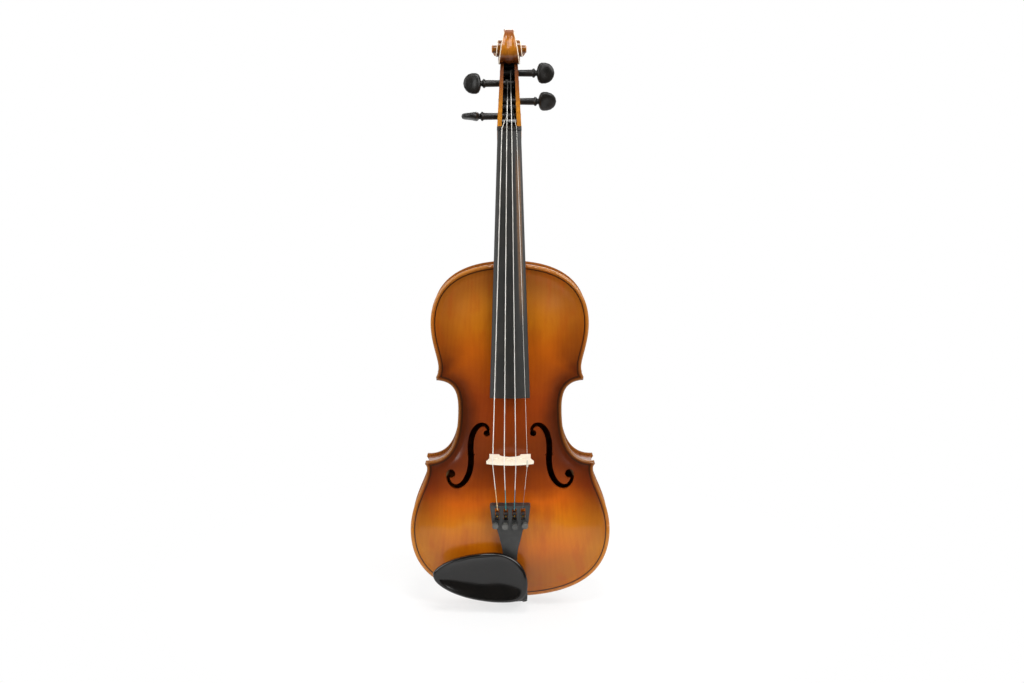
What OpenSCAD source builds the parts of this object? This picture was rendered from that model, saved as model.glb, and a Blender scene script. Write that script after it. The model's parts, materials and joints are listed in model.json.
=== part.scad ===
// Violin, full size: hollow body, carved neck and scroll, pegs, strings,
// tailpiece with built-in fine tuners and a clamped chin rest.
// Frame: +Z towards the scroll, the front faces -Y, the treble side is +X.
// The origin is the middle of the end button's outer face.

/* [Body outline] */
// Length of the body along the centre line
body_len = 356; // [330:1:375]
// Width across the upper bout
upper_bout = 163.4; // [150:0.2:175]
// Width across the waist
waist = 107.8; // [100:0.2:120]
// Width across the lower bout
lower_bout = 210.8; // [195:0.2:225]
// Height of the widest upper line, as a share of the length
upper_bout_share = 0.8244; // [0.8:0.001:0.848]
// Height of the waist, as a share of the length
waist_share = 0.5758; // [0.556:0.001:0.596]
// Height of the widest lower line, as a share of the length
lower_bout_share = 0.2051; // [0.18:0.001:0.23]
// Width between the upper corner tips
upper_corner_w = 152.8; // [146:0.2:158]
// Height of the upper corner tips, as a share of the length
upper_corner_share = 0.664; // [0.652:0.001:0.677]
// Width between the lower corner tips
lower_corner_w = 177.6; // [172:0.2:184]
// Height of the lower corner tips, as a share of the length
lower_corner_share = 0.4124; // [0.399:0.001:0.427]
// Length of the blunt end of a corner
corner_tip = 3.5; // [2.5:0.1:5]

/* [Plates and ribs] */
// Height of the ribs between the plates
rib_h = 30; // [27:0.5:34]
// Thickness of a rib
rib_t = 1.2; // [0.9:0.1:1.6]
// How far the plates stand over the ribs
overhang = 2.6; // [2:0.1:3.2]
// Thickness of the plates at their edge
plate_edge = 4; // [3.2:0.1:5]
// Height of the top's arch above its glue face
top_arch = 15.5; // [13:0.25:18]
// Height of the back's arch above its glue face
back_arch = 15; // [13:0.25:18]
// Thickness of the top in the middle
top_t = 3; // [2.4:0.1:3.6]
// Thickness of the back in the middle
back_t = 3.6; // [2.8:0.1:4.4]
// Distance of the purfling from the edge
purfling_inset = 4; // [3.6:0.1:4.6]
// Width of the purfling
purfling_w = 1.3; // [1:0.1:1.6]
// Depth of the purfling channel
purfling_depth = 1.8; // [1.2:0.1:2.4]
// Radius of the back's button under the heel
back_button_r = 10.6; // [9:0.2:12]

/* [Inside the body] */
// Width of a lining
lining_w = 2; // [1.5:0.1:2.6]
// Height of a lining
lining_h = 8; // [6:0.5:10]
// Width of the upper block
upper_block_w = 54; // [48:1:60]
// Length of the upper block
upper_block_l = 18; // [16:0.5:22]
// Width of the lower block
lower_block_w = 48; // [42:1:56]
// Length of the lower block
lower_block_l = 16; // [14:0.5:20]
// Reach of a corner block from the corner tip
corner_block_r = 27; // [24:0.5:30]
// Length of the bass bar
bar_len = 268; // [250:1:280]
// Width of the bass bar
bar_w = 5.5; // [4.5:0.1:6.5]
// Height of the bass bar in the middle
bar_h = 10.5; // [9:0.25:12]
// Distance of the bass bar from the centre line
bar_x = 16; // [14:0.25:18]
// Diameter of the sound post
post_d = 6.4; // [6:0.1:7]
// Distance of the sound post from the centre line
post_x = 18; // [16:0.25:20]
// Distance of the sound post below the bridge
post_drop = 8; // [6:0.25:11]

/* [Sound holes] */
// Distance of the upper eye from the centre line
upper_eye_x = 24.1; // [22:0.1:26]
// Radius of the upper eye
upper_eye_r = 3.1; // [2.8:0.05:3.6]
// Distance of the lower eye from the centre line
lower_eye_x = 61.6; // [59:0.1:64]
// Radius of the lower eye
lower_eye_r = 4.2; // [3.6:0.05:4.8]
// Widest part of the stem
stem_w = 6; // [5:0.1:6.6]
// Height of the upper eye above the bridge line
upper_eye_up = 23.6; // [21:0.1:26]
// Depth of the lower eye below the bridge line
lower_eye_down = 19.3; // [17:0.1:22]

/* [Neck and fingerboard] */
// Free length of the neck, body edge to nut
neck_len = 134.5; // [126:0.5:140]
// Backward tilt of the neck
neck_tilt = 6.1; // [5.4:0.1:6.8]
// Height of the neck over the top's edge
overstand = 7.6; // [6.5:0.1:9]
// Depth of the neck root in the body
root_depth = 9; // [7:0.25:11]
// Depth of the neck shaft behind the fingerboard, at the nut
shaft_t_nut = 12; // [10.5:0.1:13.5]
// Depth of the neck shaft behind the fingerboard, at the heel
shaft_t_heel = 13; // [11.5:0.1:15]
// Height of the heel's curve
heel_len = 24; // [18:0.5:30]
// Length of the fingerboard
board_len = 271; // [258:1:276]
// Width of the fingerboard at the nut
nut_w = 25; // [23.5:0.1:26]
// Width of the fingerboard at its free end
board_end_w = 41; // [39:0.2:43]
// Thickness of the fingerboard at its sides
board_edge_t = 5; // [4:0.1:6]
// Radius across the playing surface
board_radius = 42; // [38:0.5:48]
// Length of the nut along the strings
nut_t = 4.4; // [3.8:0.1:5.2]
// Height of the nut over the fingerboard
nut_rise = 0.7; // [0.5:0.05:1]

/* [Pegbox and scroll] */
// Length of the pegbox from the nut to the throat
pegbox_len = 61.5; // [58:0.5:66]
// Width of the pegbox at the throat
throat_w = 18.6; // [17.4:0.1:19.6]
// Thickness of a pegbox cheek
cheek_t = 4.7; // [4:0.1:5.2]
// Thickness of the pegbox floor
floor_t = 5.5; // [4.5:0.1:7]
// How far the pegbox front falls back at the throat
throat_drop = 14; // [12:0.25:16]
// Distance of the scroll's eye from the nut
eye_up = 84; // [81:0.5:87]
// Depth of the scroll's eye behind the neck's face
eye_back = 18.5; // [17:0.25:20]
// Radius of the scroll above its eye
scroll_r = 22; // [20:0.25:24]
// How much the spiral grows with each turn
spiral_growth = 2.1; // [1.9:0.02:2.3]
// Width across the ears of the scroll
ear_w = 35.4; // [33.5:0.2:42]
// Width of the scroll at its crown
crown_w = 10; // [9:0.1:12]

/* [Pegs] */
// Distance of the G peg above the nut
peg_g_up = 16; // [15:0.1:17.5]
// Distance of the D peg above the nut
peg_d_up = 50.4; // [48.5:0.1:51.2]
// Distance of the A peg above the nut
peg_a_up = 61.2; // [60.4:0.1:62]
// Distance of the E peg above the nut
peg_e_up = 31.5; // [29.5:0.1:33.5]
// Depth of the peg axes behind the pegbox front
peg_depth = 10; // [9:0.1:11]
// Diameter of a peg at the cheek by its head
peg_d = 6.9; // [6.2:0.05:7.4]
// Length over which a peg grows 1 mm in diameter
peg_taper = 30; // [25:1:36]
// Bare shaft between the cheek and the collar
peg_reach = 14.6; // [12:0.2:17]
// Diameter of the collar
collar_d = 9.6; // [8.8:0.1:10.6]
// Length of the thumb piece
thumb_len = 18.3; // [16.5:0.1:20]
// Width of the thumb piece
thumb_w = 21.4; // [19:0.1:23]
// Thickness of the thumb piece at its root
thumb_t = 8; // [7:0.1:9]
// Running clearance between a peg and its bore
peg_clear = 0.04; // [0.02:0.01:0.08]

/* [Strings and bridge] */
// Share of the body's length from its top down to the bridge line
stop_share = 0.5604; // [0.545:0.001:0.572]
// Height of the bridge above the crown of the top
bridge_h = 33.5; // [31:0.25:36]
// Width of the bridge across its shoulders
bridge_w = 48.6; // [46:0.2:50]
// Width across the bridge's feet
feet_w = 43; // [41.5:0.1:44]
// Thickness of the bridge at its feet
bridge_foot_t = 4.6; // [4:0.1:5.2]
// Thickness of the bridge at its crown
bridge_top_t = 1.6; // [1.2:0.1:2.2]
// Spread of the strings at the bridge
bridge_spread = 35.4; // [33:0.2:37]
// Spread of the strings at the nut
nut_spread = 14.8; // [14:0.1:16]
// Diameter of the G string
string_g_d = 0.85; // [0.7:0.01:1]
// Diameter of the D string
string_d_d = 0.8; // [0.6:0.01:0.95]
// Diameter of the A string
string_a_d = 0.7; // [0.5:0.01:0.85]
// Diameter of the E string
string_e_d = 0.34; // [0.28:0.01:0.5]
// Outer diameter of the E string's sleeve
sleeve_d = 1.9; // [1.6:0.05:2.4]
// Length of the E string's sleeve
sleeve_len = 7; // [5:0.25:9]
// Turns of each string round its peg
winding_turns = 4; // [3:1:5]

/* [Tailpiece and fine tuners] */
// Height of the tailpiece's narrow end above the lower edge
tail_low_z = 9; // [8.4:0.1:12]
// Length of the tailpiece
tail_len = 100; // [96:0.5:104]
// Height of its wide end above the body's middle plane
tail_top_y = 46; // [44.5:0.25:47.5]
// Height of its narrow end above the body's middle plane
tail_end_y = 27.5; // [27:0.1:29]
// Width of the wide end
tail_w = 42; // [40:0.2:45]
// Width across the tuner screws
tail_screw_w = 38.2; // [37:0.2:41]
// Width of the narrow end
tail_end_w = 14.6; // [13:0.2:17]
// Thickness of the tailpiece at its wide end
tail_t = 9; // [8.4:0.1:10]
// Thickness of the tailpiece's skin
tail_skin = 3; // [2.4:0.1:3.4]
// Spread of the four string slots
slot_spread = 26.8; // [26:0.1:28]
// Width of a string slot
slot_w = 4.6; // [4.2:0.1:5]
// Length of a string slot
slot_len = 13.7; // [13.4:0.1:14.6]
// Distance of the tuner screws from the wide end
screw_down = 21.4; // [20.8:0.1:23]
// Spread of the four tuner screws
screw_spread = 31; // [30:0.2:32]
// Diameter of a tuner screw's head
screw_head_d = 6.4; // [5.8:0.1:7]
// Height of a tuner screw's head
screw_head_h = 5; // [4:0.1:6]
// Diameter of a tuner screw's shank
screw_d = 3.2; // [2.8:0.1:3.6]
// Running clearance of screws, pins and threads
turn_clear = 0.05; // [0.03:0.01:0.08]
// Width of a tuner lever
lever_w = 3.4; // [3:0.1:3.7]
// Diameter of a lever's pivot pin
pivot_d = 1.8; // [1.6:0.1:2.2]

/* [End fittings] */
// How far the end button stands out from the lower edge
button_out = 10; // [9:0.25:12]
// Diameter of the button's head
button_d = 14; // [13:0.1:15]
// Length of the button's head
button_head_l = 6; // [5:0.1:6.5]
// Diameter of the button's shaft at the rib
button_shaft_d = 8; // [7.4:0.1:8.6]
// Width of the saddle
saddle_w = 25; // [23:0.2:25.4]
// Length of the saddle along the body
saddle_l = 6.4; // [5.5:0.1:7]
// Height of the saddle over the top's edge
saddle_rise = 4; // [3.2:0.1:4.6]
// Diameter of the tail gut
gut_d = 2.2; // [1.8:0.1:2.5]

/* [Chin rest] */
// Reach of the cup to the bass side
chin_left = 81; // [74:0.5:87]
// Reach of the cup to the treble side
chin_right = 18.2; // [17.8:0.1:20]
// Height of the cup's lower rim above the lower edge
chin_low = 2.2; // [1:0.1:4]
// Height of the cup's upper rim above the lower edge
chin_high = 56.4; // [52:0.2:59]
// Height of the rim above the body's middle plane, upper side
rim_y_high = 47; // [45.5:0.25:49]
// Height of the rim above the body's middle plane, lower side
rim_y_low = 43; // [41.5:0.25:45]
// Depth of the dish
dish_depth = 5.6; // [4.8:0.1:6.2]
// Thickness of the cup under the dish
cup_t = 4.4; // [3.8:0.1:4.8]
// Width of the rim
rim_w = 3; // [2.4:0.1:3.8]
// Distance of the clamp posts from the centre line
clamp_x = 15.4; // [15.2:0.1:16]
// Diameter of the clamp posts
clamp_rod_d = 3; // [2.6:0.1:3.2]
// Diameter of a clamp barrel
barrel_d = 6.2; // [5.6:0.1:6.6]
// Length of a clamp barrel
barrel_l = 22; // [19:0.25:25]
// Thickness of the cork pads
cork_t = 1.6; // [1.2:0.1:2]

/* [Hidden] */
$fn = 48;

// Colours of the finishes
VARNISH = [0.66, 0.33, 0.07];
VARNISH_DARK = [0.50, 0.22, 0.05];
SPRUCE = [0.85, 0.70, 0.46];
EBONY = [0.10, 0.10, 0.09];
COMPOSITE = [0.18, 0.18, 0.18];
STEEL = [0.80, 0.79, 0.76];
MAPLE = [0.93, 0.85, 0.68];
CORK = [0.68, 0.50, 0.32];

// Strings, bass to treble
G = 0;
D = 1;
A = 2;
E = 3;
BASS = -1;
TREBLE = 1;
string_d = [string_g_d, string_d_d, string_a_d, string_e_d];
peg_up = [peg_g_up, peg_d_up, peg_a_up, peg_e_up];
peg_side = [BASS, BASS, TREBLE, TREBLE];
// Resting turn of each thumb piece about its axis
peg_turn = [90, 0, 12, 40];

// Small gaps between seated pieces
seat_gap = 0.1;
arch_gap = 0.5;
run_gap = 0.35;

// Heights and planes that the pieces share
edge_z = button_out;
top_z = edge_z + body_len;
nut_z = top_z + neck_len;
stop_len = stop_share * body_len;
bridge_z = top_z - stop_len;
glue_y = rib_h / 2;
face_y = glue_y + plate_edge;
rib_z = edge_z + overhang;
inner_inset = overhang + rib_t;

// Curve helpers

// Points of a cubic curve after its first point
function curve(a, b, c, d, n = 8) = [
  for (i = [1:n])
    let (t = i / n, u = 1 - t)
      u * u * u * a + 3 * u * u * t * b + 3 * u * t * t * c + t * t * t * d
];
function flip(points) = [for (i = [len(points) - 1:-1:0]) [-points[i][0], points[i][1]]];
function ramp(t) = t <= 0 ? 0 : t >= 1 ? 1 : t * t * (3 - 2 * t);
function mix(a, b, t) = a + (b - a) * t;
// Rise of an arc of radius r over half a chord
function sag(r, half) = r - sqrt(r * r - half * half);
// Distance of a point from a straight piece of the outline
function seg_dist(p, a, b) =
  let (ab = b - a, t = max(0, min(1, (p - a) * ab / (ab * ab))))
    norm(p - a - t * ab);

// Body outline, from the middle of the lower edge up the treble side

upper_bout_z = upper_bout_share * body_len;
waist_z = waist_share * body_len;
lower_bout_z = lower_bout_share * body_len;
upper_corner_z = upper_corner_share * body_len;
lower_corner_z = lower_corner_share * body_len;
lower_hw = lower_bout / 2;
waist_hw = waist / 2;
upper_hw = upper_bout / 2;
lower_tip = [lower_corner_w / 2, lower_corner_z];
upper_tip = [upper_corner_w / 2, upper_corner_z];
// The flank draws in a little under each corner before the tip flares
flank_in = 1.6;
lower_flank = lower_tip + [-flank_in, -6.2];
upper_flank = upper_tip + [-2.3, 12.1];
lower_tip_out = lower_tip + [0.5, -corner_tip / 2];
lower_tip_in = lower_tip + [-0.5, corner_tip / 2];
upper_tip_in = upper_tip + [-0.2, -corner_tip / 2];
upper_tip_out = upper_tip + [0.2, corner_tip / 2];
lower_rise = lower_flank[1] - lower_bout_z;
lower_bay = [lower_tip_in[0] - waist_hw, waist_z - lower_tip_in[1]];
upper_bay = [upper_tip_in[0] - waist_hw, upper_tip_in[1] - waist_z];
upper_rise = upper_bout_z - upper_flank[1];
crown_rise = body_len - upper_bout_z;

half_outline = concat(
  [[0, 0]],
  curve([0, 0], [0.74 * lower_hw, 0],
    [lower_hw, 0.425 * lower_bout_z], [lower_hw, lower_bout_z], 14),
  curve([lower_hw, lower_bout_z], [lower_hw, lower_bout_z + 0.46 * lower_rise],
    lower_flank - [0, 0.245 * lower_rise], lower_flank, 8),
  curve(lower_flank, lower_flank + [0, 1.9], lower_tip_out - [0.9, 1], lower_tip_out, 3),
  [lower_tip_in],
  curve(lower_tip_in, [waist_hw + 0.235 * lower_bay[0], lower_tip_in[1] - 1.4],
    [waist_hw, waist_z - 0.583 * lower_bay[1]], [waist_hw, waist_z], 12),
  curve([waist_hw, waist_z], [waist_hw, waist_z + 0.574 * upper_bay[1]],
    [waist_hw + 0.184 * upper_bay[0], upper_tip_in[1] - 1.1], upper_tip_in, 10),
  [upper_tip_out],
  curve(upper_tip_out, upper_tip_out + [-1.4, 2.3], upper_flank - [0, 4.5], upper_flank, 3),
  curve(upper_flank, upper_flank + [0, 0.21 * upper_rise],
    [upper_hw, upper_bout_z - 0.43 * upper_rise], [upper_hw, upper_bout_z], 6),
  curve([upper_hw, upper_bout_z], [upper_hw, upper_bout_z + 0.592 * crown_rise],
    [0.71 * upper_hw, body_len], [0, body_len], 11)
);
half_n = len(half_outline) - 1;
outline = concat(half_outline, flip([for (i = [1:half_n - 1]) half_outline[i]]));

module body_2d(inset = 0) {
  offset(delta = -inset) polygon(outline);
}

// Ring of the body between two insets
module ring_2d(from, to) {
  difference() {
    body_2d(from);
    body_2d(to);
  }
}

// Lays a plan drawing against the front, rising towards the player
module to_front(y) {
  translate([0, -y, edge_z]) rotate([90, 0, 0]) children();
}

module to_back(y) {
  mirror([0, 1, 0]) to_front(y) children();
}

// Arching of the plates

// Flat border for the edge and the purfling, and its inner counterpart
border_w = 6.5;
glue_w = 8;
// Width of the slope behind the border
slope_w = waist_hw - 8;
// Share of the arch that follows the edge, the rest follows the cross curve
edge_share = 0.5;

function edge_dist(p) = min([
  for (i = [0:half_n - 1]) seg_dist([abs(p[0]), p[1]], half_outline[i], half_outline[i + 1])
]);

// Half width of the cross curve at height z
function cross_hw(z) =
  z < lower_bout_z ? lower_hw * sqrt(max(0, 1 - pow((lower_bout_z - z) / lower_bout_z, 2))) :
  z < waist_z ? mix(lower_hw, waist_hw, ramp((z - lower_bout_z) / (waist_z - lower_bout_z))) :
  z < upper_bout_z ? mix(waist_hw, upper_hw, ramp((z - waist_z) / (upper_bout_z - waist_z))) :
  upper_hw * sqrt(max(0, 1 - pow((z - upper_bout_z) / crown_rise, 2)));

function cross_curve(p) =
  let (
    u = abs(p[0]) / max(1, cross_hw(p[1])),
    v = min(1, abs(2 * p[1] / body_len - 1))
  )
    u >= 1 ? 0 : pow(cos(90 * pow(u, 1.35)), 2) * (1 - pow(v, 2.2));

// Height of an arched face over the glue plane
function arch(p, edge_h, rise, border) =
  edge_h + rise * (
    edge_share * ramp((edge_dist(p) - border) / slope_w) +
    (1 - edge_share) * cross_curve(p) * ramp((edge_dist(p) - border) / border)
  );
function top_outer(p) = arch(p, plate_edge, top_arch - plate_edge, border_w);
function top_inner(p) = arch(p, 0, top_arch - top_t, glue_w);
function back_inner(p) = arch(p, 0, back_arch - back_t, glue_w);

// Rings of a plate run from the outline to a spine on the centre line
spine_end = 46;
ring_share = [0, 0.1, 0.24, 0.42, 0.66];
ring_n = len(ring_share) + 1;
loop_n = len(outline);

function spine_of(p) = [0, lookup(p[1], [
  [0, spine_end], [lower_corner_z, lower_corner_z - 16], [waist_z, waist_z],
  [upper_corner_z, upper_corner_z + 12], [body_len, body_len - spine_end]
])];

function ring_points(edge_h, rise, border) = concat(
  [for (p = outline) [p[0], p[1], edge_h]],
  [
    for (share = ring_share, p = outline)
      let (
        s = spine_of(p),
        start = 1.15 * border / norm(s - p),
        q = p + (s - p) * (start + (1 - start) * share)
      )
        [q[0], q[1], arch(q, edge_h, rise, border)]
  ],
  [for (i = [0:half_n]) let (s = spine_of(outline[i])) [0, s[1], arch(s, edge_h, rise, border)]]
);

// Index of point i on ring j, where the last ring is the shared spine
function ring_at(i, j) =
  let (k = i % loop_n)
    j < ring_n ? j * loop_n + k : ring_n * loop_n + (k <= half_n ? k : loop_n - k);

function ring_faces() = [
  for (j = [0:ring_n - 1], i = [0:loop_n - 1], half = [0, 1])
    half == 0
      ? [ring_at(i, j), ring_at(i + 1, j + 1), ring_at(i + 1, j)]
      : [ring_at(i, j), ring_at(i, j + 1), ring_at(i + 1, j + 1)]
];

function backwards(face, shift) = [face[2] + shift, face[1] + shift, face[0] + shift];

// Arched plate lying on its glue face
module plate(arch_h, middle_t) {
  outer = ring_points(plate_edge, arch_h - plate_edge, border_w);
  inner = ring_points(0, arch_h - middle_t, glue_w);
  count = len(outer);
  skin = ring_faces();
  wall = [
    for (i = [0:loop_n - 1], half = [0, 1])
      let (next = (i + 1) % loop_n)
        half == 0 ? [i, next, count + next] : [i, count + next, count + i]
  ];
  polyhedron(
    points = concat(outer, inner),
    faces = concat(skin, [for (f = skin) backwards(f, count)], wall)
  );
}

// Sound holes

bridge_up = body_len - stop_len;
upper_eye = [upper_eye_x, bridge_up + upper_eye_up];
lower_eye = [lower_eye_x, bridge_up - lower_eye_down];
stem_mid = [mix(upper_eye_x, lower_eye_x, 0.44), bridge_up + 0.5];
stem_end_w = 2;
stem_n = 9;
stem_path = concat(
  [upper_eye + [-1.8, 3.2]],
  curve(upper_eye + [-1.8, 3.2], upper_eye + [0.2, 15.4],
    [stem_mid[0] + 3.2, upper_eye[1] + 8.6], stem_mid, stem_n),
  curve(stem_mid, [stem_mid[0] - 2.3, lower_eye[1] - 12.6],
    lower_eye + [1, -23.6], lower_eye + [3.6, -1.2], stem_n)
);

function stem_r(i) = mix(stem_end_w, stem_w, pow(sin(180 * i / (2 * stem_n)), 0.9)) / 2;

module f_hole_2d() {
  translate(upper_eye) circle(upper_eye_r, $fn = 24);
  translate(lower_eye) circle(lower_eye_r, $fn = 24);
  for (i = [0:2 * stem_n - 1])
    hull() {
      translate(stem_path[i]) circle(stem_r(i), $fn = 14);
      translate(stem_path[i + 1]) circle(stem_r(i + 1), $fn = 14);
    }
  notch_w = 1.4 * stem_w;
  translate(stem_mid) square([notch_w, 1], center = true);
}

module sound_holes() {
  for (side = [BASS, TREBLE])
    scale([side, 1, 1]) linear_extrude(2 * top_arch) f_hole_2d();
}

// Neck frame: origin on the neck's face at the nut, +Z along the pegbox

tilt_tan = tan(neck_tilt);
function neck_face_y(z) = -(face_y + overstand) + (z - top_z) * tilt_tan;
nut_y = neck_face_y(nut_z);

module neck_frame() {
  translate([0, nut_y, nut_z]) rotate([-neck_tilt, 0, 0]) children();
}

// A point given in the neck frame, in the part's frame
function from_neck(p) = [
  p[0],
  nut_y + p[1] * cos(neck_tilt) + p[2] * sin(neck_tilt),
  nut_z - p[1] * sin(neck_tilt) + p[2] * cos(neck_tilt)
];

function board_hw(down) = mix(nut_w, board_end_w, down / board_len) / 2;
function neck_hw(z) = board_hw((nut_z - z) / cos(neck_tilt));

heel_flat = 6;
heel_taper = 0.36;
// The root is a little wider than the heel on it
root_front_hw = neck_hw(top_z) + 0.3;
root_back_hw = root_front_hw * (1 - heel_taper);
root_front_y = neck_face_y(top_z) + 0.1;

// Root that is let into the upper block
module neck_root(extra = 0) {
  translate([0, 0, top_z - root_depth])
    linear_extrude(root_depth + extra)
      polygon([
        [-root_front_hw, root_front_y], [root_front_hw, root_front_y],
        [root_back_hw, glue_y], [-root_back_hw, glue_y]
      ]);
}

// How far the heel has grown at height z, from 0 on the shaft to 1 at the body
function heel_grow(z) =
  let (s = max(0, min(1, (z - top_z - heel_flat) / heel_len)))
    1 - sqrt(1 - (1 - s) * (1 - s));

// Cross-section of the shaft, from the treble edge round the back to the bass edge
shaft_steps = [0, 0.2, 0.4, 0.6, 0.8, 0.92, 0.98, 1];
function shaft_section(z) =
  let (
    grow = heel_grow(z),
    slim = mix(shaft_t_heel, shaft_t_nut, max(0, (z - top_z) / neck_len)),
    depth = mix(slim, glue_y - neck_face_y(z), grow),
    power = mix(2, 6, grow),
    hw = neck_hw(z),
    side = [
      for (s = shaft_steps)
        [hw * (1 - heel_taper * grow * s) * pow(1 - pow(s, power), 1 / power),
          neck_face_y(z) + depth * s]
    ],
    last = len(side) - 1
  )
    concat(
      [for (p = side) [p[0], p[1], z]],
      [for (i = [last - 1:-1:0]) [-side[i][0], side[i][1], z]]
    );

module shaft() {
  stations = concat(
    [top_z - 1, top_z + heel_flat],
    [for (s = [0.04, 0.12, 0.25, 0.45, 0.7, 1]) top_z + heel_flat + heel_len * s],
    [nut_z - 40, nut_z + nut_t]
  );
  sections = [for (z = stations) shaft_section(z)];
  around = len(sections[0]);
  last = len(stations) - 1;
  polyhedron(
    points = [for (s = sections, p = s) p],
    faces = concat(
      [[for (i = [0:around - 1]) i]],
      [[for (i = [around - 1:-1:0]) last * around + i]],
      [
        for (k = [0:last - 1], i = [0:around - 1], half = [0, 1])
          let (n = (i + 1) % around, a = k * around, b = a + around)
            half == 0 ? [a + i, b + i, b + n] : [a + i, b + n, a + n]
      ]
    )
  );
}

// Pegbox and scroll

eye = [eye_back, eye_up];
start_angle = -60;
// Turn where the back of the pegbox runs into the spiral
join_angle = -38;
end_angle = 1080;
step_angle = 10;
crown_angle = 90;

function spiral_r(turn) = scroll_r * pow(spiral_growth, (crown_angle - turn) / 360);
function spiral_at(turn, r) = eye + r * [cos(turn), sin(turn)];
// Half width of the scroll along its spiral, crown to ear
function scroll_hw(turn) = lookup(turn, [
  [start_angle, 0.7 * crown_w], [crown_angle, crown_w / 2], [crown_angle + 45, 0.56 * crown_w],
  [crown_angle + 90, 0.46 * throat_w], [crown_angle + 135, 0.545 * throat_w], [crown_angle + 180, 0.56 * throat_w],
  [crown_angle + 360, 0.61 * throat_w], [crown_angle + 540, 0.4 * ear_w], [end_angle - 360, ear_w / 2]
]);

// Front edge of the cheeks
function pegbox_front(up) = throat_drop * (up - nut_t) / (pegbox_len - nut_t);
function pegbox_hw(up) = mix(nut_w, throat_w, up / pegbox_len) / 2;

// The pegbox starts inside the shaft, just behind its face
face_lap = 0.4;
shaft_lap = 10;
pegbox_back = spiral_at(join_angle, spiral_r(join_angle) - 0.3);
pegbox_profile = concat(
  [[face_lap, -shaft_lap], [face_lap, nut_t], [throat_drop, pegbox_len], eye, pegbox_back],
  curve(pegbox_back, pegbox_back - [0.24 * eye_back, 0.31 * pegbox_len],
    [1.57 * eye_back, 0.05 * pegbox_len], [shaft_t_nut, -shaft_lap], 10)
);

// Extrudes a side drawing (back, up) across the neck
module across(half) {
  rotate([90, 0, 90]) translate([0, 0, -half]) linear_extrude(2 * half) children();
}

// Extrudes a front drawing (across, up) through the pegbox from the front
module through() {
  rotate([90, 0, 0]) translate([0, 0, -eye_up]) linear_extrude(2 * eye_up) children();
}

module cheeks_2d(inset, low, high) {
  polygon([
    [-pegbox_hw(low) + inset, low], [pegbox_hw(low) - inset, low],
    [pegbox_hw(high) - inset, high], [-pegbox_hw(high) + inset, high]
  ]);
}

// The box runs up past the winding on the A peg, to just under the scroll
box_top = max(peg_a_up + peg_d / 2 + string_a_d + run_gap + 0.5, eye_up - spiral_r(270) - 1.2);

module pegbox() {
  end_wall = 2.4;
  difference() {
    intersection() {
      across(nut_w) polygon(pegbox_profile);
      through() cheeks_2d(0, -shaft_lap - 2, eye_up + scroll_r);
    }
    intersection() {
      across(nut_w) translate([-floor_t, 0]) polygon(pegbox_profile);
      through() cheeks_2d(cheek_t, nut_t + end_wall, box_top);
    }
  }
}

// The volute is one closed skin: a ramp winds in to the eye, with a wall at each turn
module volute() {
  turn_n = 360 / step_angle;
  last = (end_angle - start_angle) / step_angle;
  flat = last - turn_n;
  function at(i) = start_angle + step_angle * i;
  // The last turn is level, so the eye is flat
  function width(i) = scroll_hw(at(min(i, flat)));
  function point(i, side, w) = let (p = spiral_at(at(i), spiral_r(at(i)))) [side * w, p[0], p[1]];
  // Crest of the wall at step i, and the foot of the next turn's wall beside it
  function crest(i, side) = 2 * i + side;
  function base(i, side) = i == flat ? crest(last, side) : 2 * (last + 1) + 2 * i + side;
  function face(list, side) = side == 1 ? list : [for (i = [len(list) - 1:-1:0]) list[i]];
  points = concat(
    [for (i = [0:last], side = [-1, 1]) point(i, side, width(i))],
    [for (i = [0:flat - 1], side = [-1, 1]) point(i + turn_n, side, width(i))]
  );
  ramps = [
    for (side = [0, 1], i = [0:flat - 1], half = [0, 1])
      face(half == 0 ? [base(i, side), base(i + 1, side), crest(i + 1, side)]
        : [base(i, side), crest(i + 1, side), crest(i, side)], side)
  ];
  walls = [
    for (side = [0, 1], i = [turn_n:last - 1], half = i < last - 1 ? [0, 1] : [0])
      let (low = base(i - turn_n, side), next = base(i + 1 - turn_n, side))
        face(half == 0 ? [low, crest(i, side), crest(i + 1, side)] : [low, crest(i + 1, side), next], side)
  ];
  outside = [
    for (i = [0:turn_n - 2], half = [0, 1])
      half == 0 ? [crest(i, 0), crest(i, 1), crest(i + 1, 1)] : [crest(i, 0), crest(i + 1, 1), crest(i + 1, 0)]
  ];
  ends = concat(
    [
      [crest(turn_n - 1, 1), crest(turn_n, 1), base(0, 1)],
      [crest(turn_n - 1, 0), crest(turn_n - 1, 1), base(0, 1)],
      [crest(turn_n - 1, 0), base(0, 1), base(0, 0)],
      [crest(turn_n - 1, 0), base(0, 0), crest(turn_n, 0)],
      [crest(0, 1), crest(0, 0), base(0, 0), base(0, 1)]
    ],
    [for (side = [0, 1]) face([for (i = [last:-1:flat]) crest(i, side)], side)]
  );
  polyhedron(points = points, faces = concat(ramps, walls, outside, ends));
}

// Pegs

function peg_axis(k) = [0, pegbox_front(peg_up[k]) + peg_depth, peg_up[k]];
function cheek_at(k) = pegbox_hw(peg_up[k]);
// Radius of a peg, out along its own axis from the centre line
function peg_r(k, out) = peg_d / 2 - (cheek_at(k) - out) / (2 * peg_taper);

// Puts a peg's own +X on its axis, head outwards
module on_peg(k) {
  neck_frame() translate(peg_axis(k)) scale([peg_side[k], 1, 1]) children();
}

// Tapered shaft between two distances along the peg's axis
module peg_cone(k, from, to, clear = 0) {
  translate([from, 0, 0]) rotate([0, 90, 0])
    cylinder(h = to - from, r1 = peg_r(k, from) + clear, r2 = peg_r(k, to) + clear);
}

module neck() {
  color(VARNISH_DARK)
    difference() {
      union() {
        neck_root();
        shaft();
        neck_frame() {
          pegbox();
          volute();
        }
      }
      for (k = [G:E]) on_peg(k) peg_cone(k, -nut_w, nut_w, peg_clear);
    }
}

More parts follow.
